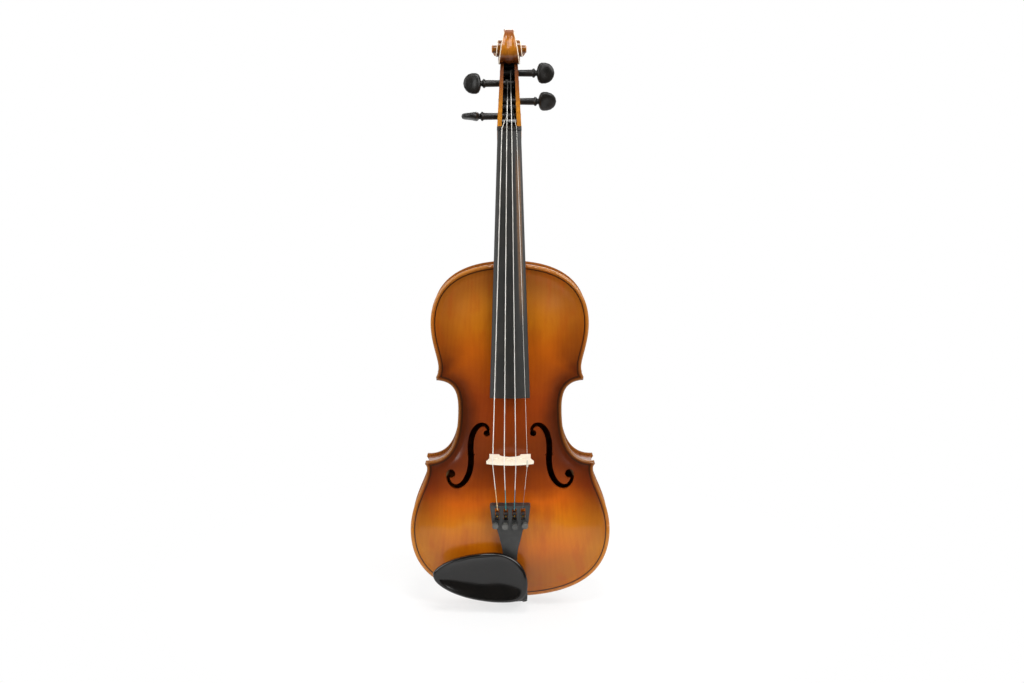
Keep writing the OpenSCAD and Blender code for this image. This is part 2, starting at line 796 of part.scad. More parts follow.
// Thumb piece, drawn flat with its root at the origin
module thumb() {
  half_face = concat(
    [[0, 3]],
    curve([0, 3], [1.5, 0.42 * thumb_w], [0.3 * thumb_len, 0.5 * thumb_w], [0.5 * thumb_len, 0.5 * thumb_w], 6),
    curve([0.5 * thumb_len, 0.5 * thumb_w], [0.78 * thumb_len, 0.5 * thumb_w],
      [thumb_len, 0.34 * thumb_w], [thumb_len, 0], 7)
  );
  half_side = concat(
    [[0, 0.5 * thumb_t]],
    curve([0, 0.5 * thumb_t], [0.3 * thumb_len, 0.5 * thumb_t], [0.35 * thumb_len, 0.3 * thumb_t],
      [0.92 * thumb_len, 0.26 * thumb_t], 6),
    [[thumb_len, 0.18 * thumb_t]]
  );
  intersection() {
    linear_extrude(2 * thumb_w, center = true)
      polygon(concat(half_face, [for (i = [len(half_face) - 2:-1:0]) [half_face[i][0], -half_face[i][1]]]));
    rotate([90, 0, 0]) linear_extrude(2 * thumb_w, center = true)
      polygon(concat(half_side, [for (i = [len(half_side) - 1:-1:0]) [half_side[i][0], -half_side[i][1]]]));
  }
}

module peg(k) {
  collar_l = 3.2;
  stem_l = 1.6;
  tip_out = 1;
  collar_at = cheek_at(k) + peg_reach;
  color(EBONY) on_peg(k) {
    peg_cone(k, -cheek_at(k) - tip_out, collar_at);
    translate([collar_at - 0.2, 0, 0]) rotate([0, 90, 0])
      rotate_extrude()
        polygon([
          [0, 0], [peg_d / 2, 0], [collar_d / 2, 0.8], [collar_d / 2, collar_l - 0.8],
          [peg_d / 2, collar_l], [2.9, collar_l + stem_l], [2.9, collar_l + stem_l + 1], [0, collar_l + stem_l + 1]
        ]);
    translate([collar_at + collar_l + stem_l - 0.4, 0, 0]) rotate([peg_turn[k] - 90, 0, 0]) thumb();
  }
}

// Strings

// Strings lie evenly across a spread, bass to treble
function across_at(k, spread) = spread * (k / 3 - 0.5);
function peg_winding_r(k) = peg_r(k, winding_from(k) + winding_l(k)) + turn_clear;
function winding_l(k) = winding_turns * 0.92 * string_d[k];
// Each winding lies on the head's half of its peg, beside the centre line
function winding_from(k) = 0.9;

bridge_crown = glue_y + top_outer([0, bridge_up]) + bridge_h;
function bridge_crown_y(x) = bridge_crown - sag(board_radius, x);
// Seat radius of a string on the bridge: the E string lies in its sleeve
function bridge_seat_r(k) = k == E ? sleeve_d / 2 : string_d[k] / 2;
function at_bridge(k) =
  let (x = across_at(k, bridge_spread))
    [x, -bridge_crown_y(x) - 0.35 * bridge_seat_r(k), bridge_z];

board_crown_nut = board_edge_t + sag(board_radius, nut_w / 2);
board_crown_end = board_edge_t + sag(board_radius, board_end_w / 2);
nut_top = board_crown_nut + nut_rise;
nut_crest = 1.5;
function at_nut(k) =
  let (x = across_at(k, nut_spread))
    from_neck([x, -(nut_top - sag(board_radius, x)) - 0.2 * string_d[k], nut_crest]);

// Where a string leaves the nut for its winding, touching it on the front
function at_winding(k) =
  let (
    c = from_neck(peg_axis(k)),
    n = at_nut(k),
    r = peg_winding_r(k) + 1.5 * string_d[k] + run_gap,
    dy = c[1] - n[1],
    dz = c[2] - n[2],
    reach = sqrt(dy * dy + dz * dz),
    aim = atan2(dz, dy) + asin(r / reach),
    run = sqrt(reach * reach - r * r)
  )
    [peg_side[k] * (winding_from(k) + 0.2 * winding_l(k)), n[1] + run * cos(aim), n[2] + run * sin(aim)];

// Straight round run between two points
module run(a, b, d) {
  v = b - a;
  translate(a) rotate([0, acos(v[2] / norm(v)), atan2(v[1], v[0])]) cylinder(h = norm(v), d = d);
}

module bend(at, d) {
  translate(at) sphere(d = 1.1 * d);
}

function along(a, b, distance) = a + (b - a) * distance / norm(b - a);

module string_run(k) {
  d = string_d[k];
  color(STEEL) {
    run(at_tail(k), at_bridge(k), d);
    bend(at_bridge(k), d);
    run(at_bridge(k), at_nut(k), d);
    bend(at_nut(k), d);
    run(at_nut(k), at_winding(k), d);
  }
}

module winding(k) {
  d = string_d[k];
  r = peg_winding_r(k);
  pitch = 0.92 * d;
  color(STEEL) on_peg(k)
    translate([winding_from(k), 0, 0]) rotate([0, 90, 0])
      rotate_extrude() {
        for (i = [0:winding_turns - 1]) translate([r + d / 2, pitch * (i + 0.5)]) circle(d = d, $fn = 24);
        translate([r, 0.2 * d]) square([d / 2, winding_l(k) - 0.4 * d]);
      }
}

module e_string_sleeve() {
  middle = at_bridge(E);
  ends = [
    along(middle, at_tail(E), sleeve_len / 2),
    along(middle, at_nut(E), sleeve_len / 2)
  ];
  bore = string_e_d + 4 * turn_clear;
  color("white")
    difference() {
      union() {
        for (end = ends) run(middle, end, sleeve_d);
        bend(middle, sleeve_d);
      }
      for (end = ends) run(middle, along(middle, end, sleeve_len), bore);
      bend(middle, bore);
    }
}

// Bridge

module bridge_2d() {
  crown = bridge_h;
  foot_in = 11.2;
  foot_hw = feet_w / 2;
  shoulder_hw = bridge_w / 2;
  shoulder_h = crown - sag(board_radius, shoulder_hw);
  base = top_outer([0, bridge_up]);
  function floor_at(x) = top_outer([x, bridge_up]) - base + seat_gap;
  half = concat(
    [
      [0, 9.2], [5, 8.4], [9.6, 5.4], [foot_in, floor_at(foot_in) + 2.2], [foot_in - 0.2, floor_at(foot_in)],
      [mix(foot_in, foot_hw, 0.5), floor_at(mix(foot_in, foot_hw, 0.5))], [foot_hw, floor_at(foot_hw)],
      [foot_hw - 0.3, floor_at(foot_hw) + 2.6]
    ],
    curve([foot_hw - 0.3, floor_at(foot_hw) + 2.6], [foot_hw - 2, 0.24 * crown], [shoulder_hw - 3, 0.5 * crown],
      [shoulder_hw, shoulder_h - 2.4], 9),
    [
      for (s = [0:7])
        let (x = shoulder_hw * (1 - s / 8) - 0.4)
          [x, crown - sag(board_radius, x)]
    ]
  );
  difference() {
    polygon(concat(half, flip(half)));
    // Heart over the middle
    for (side = [BASS, TREBLE]) translate([side * 2.1, 18.6]) circle(2.4);
    polygon([[-4.3, 17.6], [4.3, 17.6], [0, 13.2]]);
    // Kidneys beside it
    for (side = [BASS, TREBLE]) translate([side * 0.3 * feet_w, 15.4]) circle(2.7);
  }
}

module bridge() {
  color(MAPLE)
    difference() {
      intersection() {
        translate([0, -glue_y - top_outer([0, bridge_up]), bridge_z])
          scale([1, -1, 1]) linear_extrude(2 * bridge_foot_t, center = true) bridge_2d();
        // The tail side is flat, the other side thins towards the crown
        translate([0, -glue_y, bridge_z - bridge_foot_t / 2]) rotate([90, 0, 90])
          linear_extrude(2 * bridge_w, center = true)
            polygon([
              [0, 0], [0, bridge_foot_t], [-top_arch, bridge_foot_t],
              [-top_arch - bridge_h - 2, bridge_foot_t / 2 + bridge_top_t / 2],
              [-top_arch - bridge_h - 2, bridge_foot_t / 2 - bridge_top_t / 2], [-top_arch, 0]
            ]);
      }
      for (k = [G:E]) string_groove(k, at_bridge(k), [at_tail(k), at_nut(k)], 2 * bridge_seat_r(k));
    }
}

// Groove round a string that bends at a point and leaves it two ways
module string_groove(k, at, ways, d) {
  reach = 2 * nut_t;
  for (way = ways) run(at, along(at, way, reach), d + 2 * seat_gap);
  bend(at, d + 2 * seat_gap);
}

// Fingerboard and nut

module crown_cylinder(rise, from, to) {
  // Axis leans so that the sides keep their thickness from nut to end
  lean = atan((board_crown_end - board_crown_nut) / board_len);
  translate([0, board_radius - board_crown_nut - rise, 0]) rotate([-lean, 0, 0])
    translate([0, 0, from]) cylinder(h = to - from, r = board_radius, $fn = 96);
}

module board_plan(from, to, thick) {
  rotate([90, 0, 0]) linear_extrude(thick)
    polygon([
      [-board_hw(-from), from], [board_hw(-from), from], [board_hw(-to), to], [-board_hw(-to), to]
    ]);
}

module fingerboard() {
  hollow_r = 46;
  hollow_deep = 3.2;
  hollow_start = -(neck_len + 14);
  color(EBONY) neck_frame()
    difference() {
      intersection() {
        board_plan(-board_len, 0, 3 * board_edge_t);
        crown_cylinder(0, -1.1 * board_len, 0.1 * board_len);
      }
      // The free end is hollowed underneath
      translate([0, hollow_r - hollow_deep, -board_len - 1])
        cylinder(h = board_len + 1 + hollow_start, r = hollow_r, $fn = 96);
    }
}

module nut() {
  color(EBONY)
    difference() {
      neck_frame()
        intersection() {
          board_plan(0, nut_t, 3 * board_edge_t);
          crown_cylinder(nut_rise, -2 * nut_t, 4 * nut_t);
          across(nut_w)
            polygon([
              [0, 0], [0, nut_t], [-3, nut_t], [-nut_top + 1.2, nut_crest + 1], [-nut_top, nut_crest],
              [-nut_top - 5, nut_crest], [-nut_top - 5, 0]
            ]);
        }
      for (k = [G:E]) string_groove(k, at_nut(k), [at_bridge(k), at_winding(k)], string_d[k]);
    }
}

// Ribs, linings and blocks

// Half of the plan, cut at the corners
module rib_span_2d(side, low, high) {
  scale([side, 1]) translate([0, low]) square([lower_bout, high - low]);
}

module button_bore(clear = 0) {
  translate([0, 0, rib_z - 1]) cylinder(h = lower_block_l + 6, r1 = button_shaft_d / 2 + clear, r2 = button_shaft_d / 2 + clear - 0.6);
}

module rib(side, low, high) {
  color(VARNISH_DARK)
    difference() {
      to_front(-glue_y) linear_extrude(rib_h)
        intersection() {
          ring_2d(overhang, inner_inset);
          rib_span_2d(side, low, high);
        }
      neck_root(1);
      button_bore(turn_clear);
    }
}

module end_block_2d(w, low, high) {
  intersection() {
    body_2d(inner_inset);
    translate([-w / 2, low]) square([w, high - low]);
  }
}

module upper_block_2d() {
  end_block_2d(upper_block_w, body_len - inner_inset - upper_block_l, body_len);
}

module lower_block_2d() {
  end_block_2d(lower_block_w, 0, inner_inset + lower_block_l);
}

module corner_reach_2d() {
  for (side = [BASS, TREBLE], tip = [lower_tip, upper_tip])
    translate([side * tip[0], tip[1]]) circle(corner_block_r);
}

module corner_blocks_2d() {
  intersection() {
    body_2d(inner_inset);
    corner_reach_2d();
  }
}

module upper_block() {
  color(SPRUCE)
    difference() {
      to_front(-glue_y) linear_extrude(rib_h) upper_block_2d();
      neck_root(1);
    }
}

module lower_block() {
  color(SPRUCE)
    difference() {
      to_front(-glue_y) linear_extrude(rib_h) lower_block_2d();
      button_bore(turn_clear);
    }
}

module corner_blocks() {
  color(SPRUCE) to_front(-glue_y) linear_extrude(rib_h) corner_blocks_2d();
}

module linings() {
  linear_extrude(lining_h)
    difference() {
      ring_2d(inner_inset, inner_inset + lining_w);
      // The linings stop at the blocks
      translate([-upper_block_w / 2, body_len - inner_inset - upper_block_l]) square([upper_block_w, upper_block_l]);
      translate([-lower_block_w / 2, 0]) square([lower_block_w, inner_inset + lower_block_l]);
      corner_reach_2d();
    }
}

module top_linings() {
  color(SPRUCE) to_front(glue_y - lining_h) linings();
}

module back_linings() {
  color(SPRUCE) to_back(glue_y - lining_h) linings();
}

// Plates

module saddle_notch_2d() {
  translate([-saddle_w / 2, -1]) square([saddle_w, saddle_l + 1]);
}

module purfling_2d() {
  ring_2d(purfling_inset, purfling_inset + purfling_w);
}

module top_purfling_2d() {
  difference() {
    purfling_2d();
    saddle_notch_2d();
    translate([-root_front_hw, body_len - root_depth]) square([2 * root_front_hw, 2 * root_depth]);
  }
}

module purfling_strip() {
  translate([0, 0, plate_edge - purfling_depth]) linear_extrude(purfling_depth) children();
}

module top_plate() {
  color(VARNISH)
    difference() {
      to_front(glue_y)
        difference() {
          plate(top_arch, top_t);
          sound_holes();
          linear_extrude(2 * plate_edge) saddle_notch_2d();
          translate([0, 0, plate_edge - purfling_depth]) linear_extrude(plate_edge) top_purfling_2d();
        }
      neck_root(1);
    }
}

module back_plate() {
  color(VARNISH_DARK)
    to_back(glue_y)
      difference() {
        union() {
          plate(back_arch, back_t);
          hull() {
            translate([0, body_len - 2]) cylinder(h = plate_edge, r = back_button_r, $fn = 32);
            translate([0, body_len + 1.5]) cylinder(h = plate_edge, r = back_button_r, $fn = 32);
          }
        }
        translate([0, 0, plate_edge - purfling_depth]) linear_extrude(plate_edge) purfling_2d();
      }
}

module top_purfling() {
  color("black") to_front(glue_y) purfling_strip() top_purfling_2d();
}

module back_purfling() {
  color("black") to_back(glue_y) purfling_strip() purfling_2d();
}

// Bar and post

module bass_bar() {
  bar_n = 10;
  low = bridge_up + 0.082 * bar_len - bar_len / 2;
  end_h = 3;
  points = [
    for (i = [0:bar_n])
      let (
        z = low + bar_len * i / bar_n,
        deep = mix(end_h, bar_h, sin(180 * i / bar_n)),
        in = top_inner([bar_x - bar_w / 2, z]) - arch_gap,
        out = top_inner([bar_x + bar_w / 2, z]) - arch_gap
      )
        each [
          [-bar_x - bar_w / 2, z, out], [-bar_x + bar_w / 2, z, in],
          [-bar_x + bar_w / 2, z, out - deep], [-bar_x - bar_w / 2, z, out - deep]
        ]
  ];
  color(SPRUCE) to_front(glue_y)
    polyhedron(
      points = points,
      faces = concat(
        [[0, 1, 2, 3]],
        [[for (i = [3:-1:0]) 4 * bar_n + i]],
        [
          for (k = [0:bar_n - 1], i = [0:3], half = [0, 1])
            let (n = (i + 1) % 4, a = 4 * k, b = a + 4)
              half == 0 ? [a + i, b + i, b + n] : [a + i, b + n, a + n]
        ]
      )
    );
}

module sound_post() {
  z = bridge_up - post_drop;
  inside = post_x - post_d / 2;
  outside = post_x + post_d / 2;
  front_lean = atan((top_inner([inside, z]) - top_inner([outside, z])) / post_d);
  back_lean = atan((back_inner([inside, z]) - back_inner([outside, z])) / post_d);
  slab = 4 * post_d;
  color(SPRUCE)
    difference() {
      to_front(-glue_y - back_arch) translate([post_x, z, 0])
        cylinder(h = rib_h + top_arch + back_arch, d = post_d);
      // Both ends are cut to the slope of the plates
      to_front(glue_y + top_inner([post_x, z]) - arch_gap) translate([post_x, z, 0])
        rotate([0, front_lean, 0]) translate([-slab / 2, -slab / 2, 0]) cube([slab, slab, slab]);
      to_back(glue_y + back_inner([post_x, z]) - arch_gap) translate([post_x, z, 0])
        rotate([0, back_lean, 0]) translate([-slab / 2, -slab / 2, 0]) cube([slab, slab, slab]);
    }
}

// Saddle, end button and tail gut

module saddle() {
  y_top = face_y + saddle_rise;
  color(EBONY)
    translate([0, 0, edge_z]) rotate([90, 0, 90]) linear_extrude(saddle_w - 2 * seat_gap, center = true)
      polygon([
        [-glue_y, 0.2], [-glue_y, saddle_l], [-face_y - 0.4, saddle_l],
        [-y_top + 0.6, 3.4], [-y_top, 2.4], [-y_top + 0.4, 1], [-y_top + 1.6, 0.2]
      ]);
}

button_neck_r = 4.4;
button_neck_low = button_head_l + 1;
gut_loop_z = edge_z - gut_d / 2 - run_gap;
gut_loop_r = button_neck_r + gut_d / 2 + run_gap;

module end_button() {
  head_r = button_d / 2;
  flange_r = 6.4;
  color(EBONY) {
    rotate_extrude()
      polygon([
        [0, 0], [head_r - 1, 0], [head_r, 1], [head_r, button_head_l - 0.4], [head_r - 0.6, button_head_l],
        [button_neck_r, button_neck_low], [button_neck_r, edge_z + 0.3], [flange_r, edge_z + 0.8],
        [flange_r, rib_z - seat_gap], [0, rib_z - seat_gap]
      ]);
    difference() {
      button_bore();
      translate([0, 0, rib_z - 2]) cylinder(h = 1.2, d = button_d);
    }
  }
}

// The gut leaves the tailpiece, crosses the saddle and loops behind the button's head
gut_over_y = -(face_y + saddle_rise + gut_d / 2 + run_gap);
function gut_from(side) = tail_point([side * gut_x, gut_y, -tail_len + gut_hole]);
function gut_over(side) = [side * mix(gut_x, gut_loop_r, 0.3), gut_over_y, edge_z + 2.4];

module tail_gut() {
  color([0.75, 0.75, 0.72]) {
    for (side = [BASS, TREBLE]) {
      over = gut_over(side);
      turn = [side * gut_loop_r, gut_over_y + 2, gut_loop_z];
      run(gut_from(side), over, gut_d);
      bend(over, gut_d);
      run(over, turn, gut_d);
      bend(turn, gut_d);
      run(turn, [side * gut_loop_r, 0, gut_loop_z], gut_d);
    }
    translate([0, 0, gut_loop_z]) rotate_extrude(angle = 180) translate([gut_loop_r, 0]) circle(d = gut_d);
  }
}

// Tailpiece and fine tuners

// Tail frame: origin on the middle of the wide end's face, +Z towards the bridge
tail_lean = asin((tail_top_y - tail_end_y) / tail_len);
tail_top_z = tail_low_z + tail_len * cos(tail_lean);

module tail_frame() {
  translate([0, -tail_top_y, edge_z + tail_top_z]) rotate([tail_lean, 0, 0]) children();
}

function tail_point(p) = [
  p[0],
  -tail_top_y + p[1] * cos(tail_lean) - p[2] * sin(tail_lean),
  edge_z + tail_top_z + p[1] * sin(tail_lean) + p[2] * cos(tail_lean)
];

// The face falls from a ridge to both sides
ridge_fall = 0.13;
tail_end_t = 5.2;
// Thickness just behind the lever pocket
tail_mid_t = 6;
gut_x = 3.2;
gut_y = 2.9;
gut_hole = 9;
function face_fall(x) = abs(x) * ridge_fall;

slot_top = 3;
anchor_down = 8;
function slot_x(k) = across_at(k, slot_spread);
function screw_x(k) = across_at(k, screw_spread);
// A string crosses the wide end just over its edge and dips to its lever
function at_tail(k) =
  let (
    b = at_bridge(k),
    edge = tail_point([slot_x(k), face_fall(slot_x(k)) - string_d[k] / 2 - 2 * seat_gap, 0]),
    reach = norm(b - edge)
  )
    b + (edge - b) * (reach + anchor_down - ball_r - run_gap - lever_w / 2) / reach;

module tail_plan_2d() {
  half = concat(
    [[0.5 * tail_end_w, -tail_len], [0.5 * tail_end_w, -0.6 * tail_len]],
    curve([0.5 * tail_end_w, -0.6 * tail_len], [0.52 * tail_end_w, -0.48 * tail_len],
      [0.3 * tail_screw_w, -1.6 * screw_down], [0.5 * tail_screw_w - 1, -screw_down - 3.6], 8),
    [[0.5 * tail_screw_w, -screw_down + 3], [0.5 * tail_w, -1], [0.5 * tail_w - 1.5, 0]]
  );
  polygon(concat(half, flip(half)));
}

pocket_end = screw_down + 6;
pivot_down = 14;
pivot_y = tail_skin + 1.7;

module tailpiece_shell() {
  far = tail_w;
  difference() {
    intersection() {
      rotate([90, 0, 0]) translate([0, 0, -2 * tail_t]) linear_extrude(4 * tail_t) tail_plan_2d();
      // Roof with a ridge along the middle
      translate([0, 0, -2 * tail_len]) linear_extrude(3 * tail_len)
        polygon([[0, 0], [far, face_fall(far)], [far, 2 * tail_t], [-far, 2 * tail_t], [-far, face_fall(far)]]);
      // The underside is thinner behind the pocket
      across(far)
        polygon([
          [-1, 1], [tail_t, 1], [tail_t, -pocket_end], [tail_mid_t, -pocket_end - tail_t],
          [tail_end_t, -tail_len - 1], [-1, -tail_len - 1]
        ]);
    }
    // Pocket for the levers
    rotate([90, 0, 0]) translate([0, 0, -2 * tail_t]) linear_extrude(2 * tail_t - tail_skin - 0.5)
      intersection() {
        offset(delta = -1.2) tail_plan_2d();
        translate([-far, -pocket_end]) square([2 * far, pocket_end - 1.8]);
      }
    for (k = [G:E]) {
      translate([slot_x(k) - slot_w / 2, -1, -slot_top - slot_len]) cube([slot_w, 2 * tail_skin + 3, slot_len]);
      along_screw(k) translate([0, 0, -4 * tail_skin]) cylinder(h = 8 * tail_skin, d = screw_d + 2 * turn_clear);
      // Seat of the pivot pin
      translate([slot_x(k) - pin_l / 2 - seat_gap, pivot_y, -pivot_down]) rotate([0, 90, 0])
        cylinder(h = pin_l + 2 * seat_gap, d = pivot_d + seat_gap);
    }
  }
}

module tailpiece() {
  color(COMPOSITE)
    difference() {
      tail_frame() tailpiece_shell();
      // Holes of the gut, and grooves where the strings cross the wide end
      for (side = [BASS, TREBLE])
        run(along(gut_from(side), gut_over(side), -run_gap), gut_over(side), gut_d + 2 * run_gap);
      for (k = [G:E]) run(at_tail(k), at_bridge(k), string_d[k] + 2 * seat_gap);
    }
}

pin_l = slot_w + 2.4;

module tuner_pivots() {
  color(STEEL) tail_frame()
    for (k = [G:E])
      translate([slot_x(k) - pin_l / 2, pivot_y, -pivot_down]) rotate([0, 90, 0]) cylinder(h = pin_l, d = pivot_d);
}

// Puts +Z along a tuner screw, from its tip out through its head
module along_screw(k) {
  translate([screw_x(k), 0, -screw_down]) rotate([90, 0, 0]) children();
}

ball_r = 1.2;
arm_t = 1.8;
// Half width of an arm under its screw
arm_end_hw = 1.2;
arm_y = pivot_y + 0.9;

// The lever holds the string in its slot, turns on its pin and runs back under its screw
module tuner_lever(k) {
  x = slot_x(k);
  boss_r = pivot_d / 2 + 1;
  color(EBONY) tail_frame()
    difference() {
      union() {
        translate([x, 0, 0]) across(lever_w / 2)
          polygon([
            [pivot_y + boss_r, -pivot_down - boss_r], [pivot_y + boss_r, -pivot_down + boss_r],
            [pivot_y - 1, -anchor_down + 1], [0.2, -anchor_down + 1], [0.2, -anchor_down - 1],
            [pivot_y - boss_r, -pivot_down + 1.4], [pivot_y - boss_r, -pivot_down - boss_r]
          ]);
        // Arm, slanting from the slot to its screw
        translate([0, arm_y + arm_t, 0]) rotate([90, 0, 0]) linear_extrude(arm_t)
          polygon([
            [x - lever_w / 2, -pivot_down], [x + lever_w / 2, -pivot_down],
            [screw_x(k) + arm_end_hw, -screw_down - 1.8], [screw_x(k) - arm_end_hw, -screw_down - 1.8]
          ]);
      }
      translate([x - lever_w, pivot_y, -pivot_down]) rotate([0, 90, 0])
        cylinder(h = 2 * lever_w, d = pivot_d + 2 * turn_clear);
    }
}

// Knurled screw that presses on the lever's arm
module tuner_screw(k) {
  ribs = 16;
  under = 0.4;
  head_low = -face_fall(screw_x(k)) + under;
  color(EBONY) tail_frame() along_screw(k) {
    difference() {
      translate([0, 0, head_low]) cylinder(h = screw_head_h, d = screw_head_d);
      for (i = [0:ribs - 1])
        rotate([0, 0, 360 * i / ribs]) translate([screw_head_d / 2, 0, head_low - 1])
          cylinder(h = screw_head_h, d = 0.7, $fn = 16);
    }
    translate([0, 0, -arm_y + run_gap]) cylinder(h = arm_y - run_gap + head_low + 0.5, d = screw_d);
  }
}

// Ball end, caught behind the lever's hook
module string_ball(k) {
  at = tail_point([slot_x(k), 0.4, -anchor_down - 3.6]);
  color("goldenrod") translate(at) sphere(ball_r);
}

// Chin rest

// Cup outline, treble end first, counter-clockwise from the front
cup_mid_x = (chin_right - chin_left) / 2;
cup_right = [chin_right, mix(chin_low, chin_high, 0.36)];
cup_top = [chin_right - 0.38 * (chin_left + chin_right), chin_high];
cup_left = [-chin_left, mix(chin_low, chin_high, 0.56)];
cup_low = [chin_right - 0.3 * (chin_left + chin_right), chin_low];
cup_outline = concat(
  curve(cup_right, [chin_right, mix(cup_right[1], chin_high, 0.62)],
    [mix(cup_top[0], chin_right, 0.55), chin_high], cup_top, 9),
  curve(cup_top, [mix(cup_top[0], -chin_left, 0.56), chin_high],
    [-chin_left, mix(cup_left[1], chin_high, 0.4)], cup_left, 10),
  curve(cup_left, [-chin_left, mix(cup_left[1], chin_low, 0.46)],
    [mix(cup_low[0], -chin_left, 0.5), chin_low], cup_low, 10),
  curve(cup_low, [mix(cup_low[0], chin_right, 0.8), chin_low],
    [chin_right, mix(cup_right[1], chin_low, 0.75)], cup_right, 7)
);
cup_heart = [mix(-chin_left, chin_right, 0.52), mix(chin_low, chin_high, 0.5)];
cup_n = len(cup_outline);

// Height of the rim's plane over the body's middle plane
function rim_y(z) = mix(rim_y_low, rim_y_high, (z - chin_low) / (chin_high - chin_low));

// Ring of the cup: outline drawn in by a share, height by a depth below the rim plane
function cup_ring(share, depth) = [
  for (p = cup_outline)
    let (q = cup_heart + (p - cup_heart) * share)
      [q[0], q[1], rim_y(q[1]) - depth]
];

module cup() {
  half = (chin_high - chin_low) / 2;
  rim = 1 - rim_w / half;
  under = dish_depth + cup_t;
  rings = [
    cup_ring(0.02, under), cup_ring(0.5, under), cup_ring(0.84, 0.96 * under), cup_ring(0.97, 0.66 * under),
    cup_ring(1, 0.25 * under), cup_ring(0.985, 0.6), cup_ring(0.5 + rim / 2, 0), cup_ring(rim, 0.4),
    cup_ring(0.8 * rim, 0.52 * dish_depth), cup_ring(0.55 * rim, 0.82 * dish_depth),
    cup_ring(0.28 * rim, 0.97 * dish_depth), cup_ring(0.02, dish_depth)
  ];
  last = len(rings) - 1;
  polyhedron(
    points = [for (r = rings, p = r) p],
    faces = concat(
      [[for (i = [0:cup_n - 1]) i]],
      [[for (i = [cup_n - 1:-1:0]) last * cup_n + i]],
      [
        for (k = [0:last - 1], i = [0:cup_n - 1], half_face = [0, 1])
          let (n = (i + 1) % cup_n, a = k * cup_n, b = a + cup_n)
            half_face == 0 ? [a + i, b + i, b + n] : [a + i, b + n, a + n]
      ]
    )
  );
}

clamp_z = -clamp_rod_d / 2 - 0.7;
pad_y = face_y + seat_gap;
foot_low = clamp_z - clamp_rod_d / 2 - 0.4;
foot_high = 16;
// Above the lip round the post, a foot keeps inside the body's edge
foot_edge = 0.6;
lip_deep = 6;
// The treble side reaches in over the gut
arm_inner = 2;
chin_arm_y = rim_y_low - dish_depth - cup_t;
// The cork lies on the flat border only
cork_high = border_w + 0.6;
// Feet stand clear of the saddle on both sides
foot_inner = saddle_w / 2 + 0.4;
bass_foot_w = 16;
treble_foot_w = chin_right - foot_inner - 0.2;
post_deep = lip_deep - 1;

module foot_2d(side, low, high) {
  w = side == BASS ? bass_foot_w : treble_foot_w;
  scale([side, 1]) translate([foot_inner, low]) square([w, high - low]);
}

module foot(side) {
  top = rim_y_low - (dish_depth + cup_t) / 2;
  base = pad_y + cork_t;
  to_front(base) linear_extrude(top - base) foot_2d(side, foot_edge, foot_high);
  to_front(base) linear_extrude(lip_deep) foot_2d(side, foot_low, foot_edge + 1);
}

module chinrest() {
  color(EBONY)
    difference() {
      union() {
        to_front(0) cup();
        for (side = [BASS, TREBLE]) foot(side);
        to_front(chin_arm_y) linear_extrude(rim_y_low - (dish_depth + cup_t) / 2 - 0.2 - chin_arm_y)
          translate([arm_inner, foot_edge + 0.2]) square([foot_inner + 2 - arm_inner, foot_high - foot_edge - 0.4]);
      }
      for (side = [BASS, TREBLE]) clamp_axis(side) translate([0, 0, pad_y + cork_t - 1])
        cylinder(h = post_deep + 1 + seat_gap, d = clamp_rod_d + 2 * seat_gap);
    }
}

module chinrest_cork() {
  color(CORK)
    for (side = [BASS, TREBLE]) to_front(pad_y) linear_extrude(cork_t) foot_2d(side, 1.6, cork_high);
}

// Puts +Z along a clamp, from the body's middle plane towards the front
module clamp_axis(side) {
  translate([side * clamp_x, 0, edge_z + clamp_z]) rotate([90, 0, 0]) children();
}

thread_in = 8;

module clamp_posts() {
  low = barrel_l / 2 - thread_in;
  color(STEEL)
    for (side = [BASS, TREBLE])
      clamp_axis(side) translate([0, 0, low]) cylinder(h = pad_y + cork_t + post_deep - low, d = clamp_rod_d);
}

module clamp_barrel(side) {
  pin_hole = 1.6;
  color(STEEL) clamp_axis(side)
    difference() {
      translate([0, 0, -barrel_l / 2])
        rotate_extrude()
          polygon([
            [0, 0], [barrel_d / 2 - 0.6, 0], [barrel_d / 2, 0.6], [barrel_d / 2, barrel_l - 0.6],
            [barrel_d / 2 - 0.6, barrel_l], [0, barrel_l]
          ]);
      translate([0, 0, -barrel_l]) cylinder(h = 2 * barrel_l, d = clamp_rod_d + 2 * turn_clear);
      // Cross holes for the turning pin
      for (turn = [0, 90]) rotate([90, 0, turn]) cylinder(h = 2 * barrel_d, d = pin_hole, center = true, $fn = 24);
    }
}

hook_y = face_y + seat_gap + run_gap + cork_t;
hook_t = 2.4;
hook_w = 9;
hook_high = 12;

module clamp_hook(side) {
  high = -barrel_l / 2 + thread_in;
  color(STEEL) {
    clamp_axis(side) translate([0, 0, -hook_y - hook_t / 2]) cylinder(h = hook_y + hook_t / 2 + high, d = clamp_rod_d);
    to_back(hook_y) translate([side * clamp_x - hook_w / 2, foot_low]) linear_extrude(hook_t) square([hook_w, hook_high - foot_low]);
  }
}

module hook_cork(side) {
  color(CORK)
    to_back(hook_y - cork_t) translate([side * clamp_x - hook_w / 2, 2]) linear_extrude(cork_t) square([hook_w, cork_high - 2]);
}

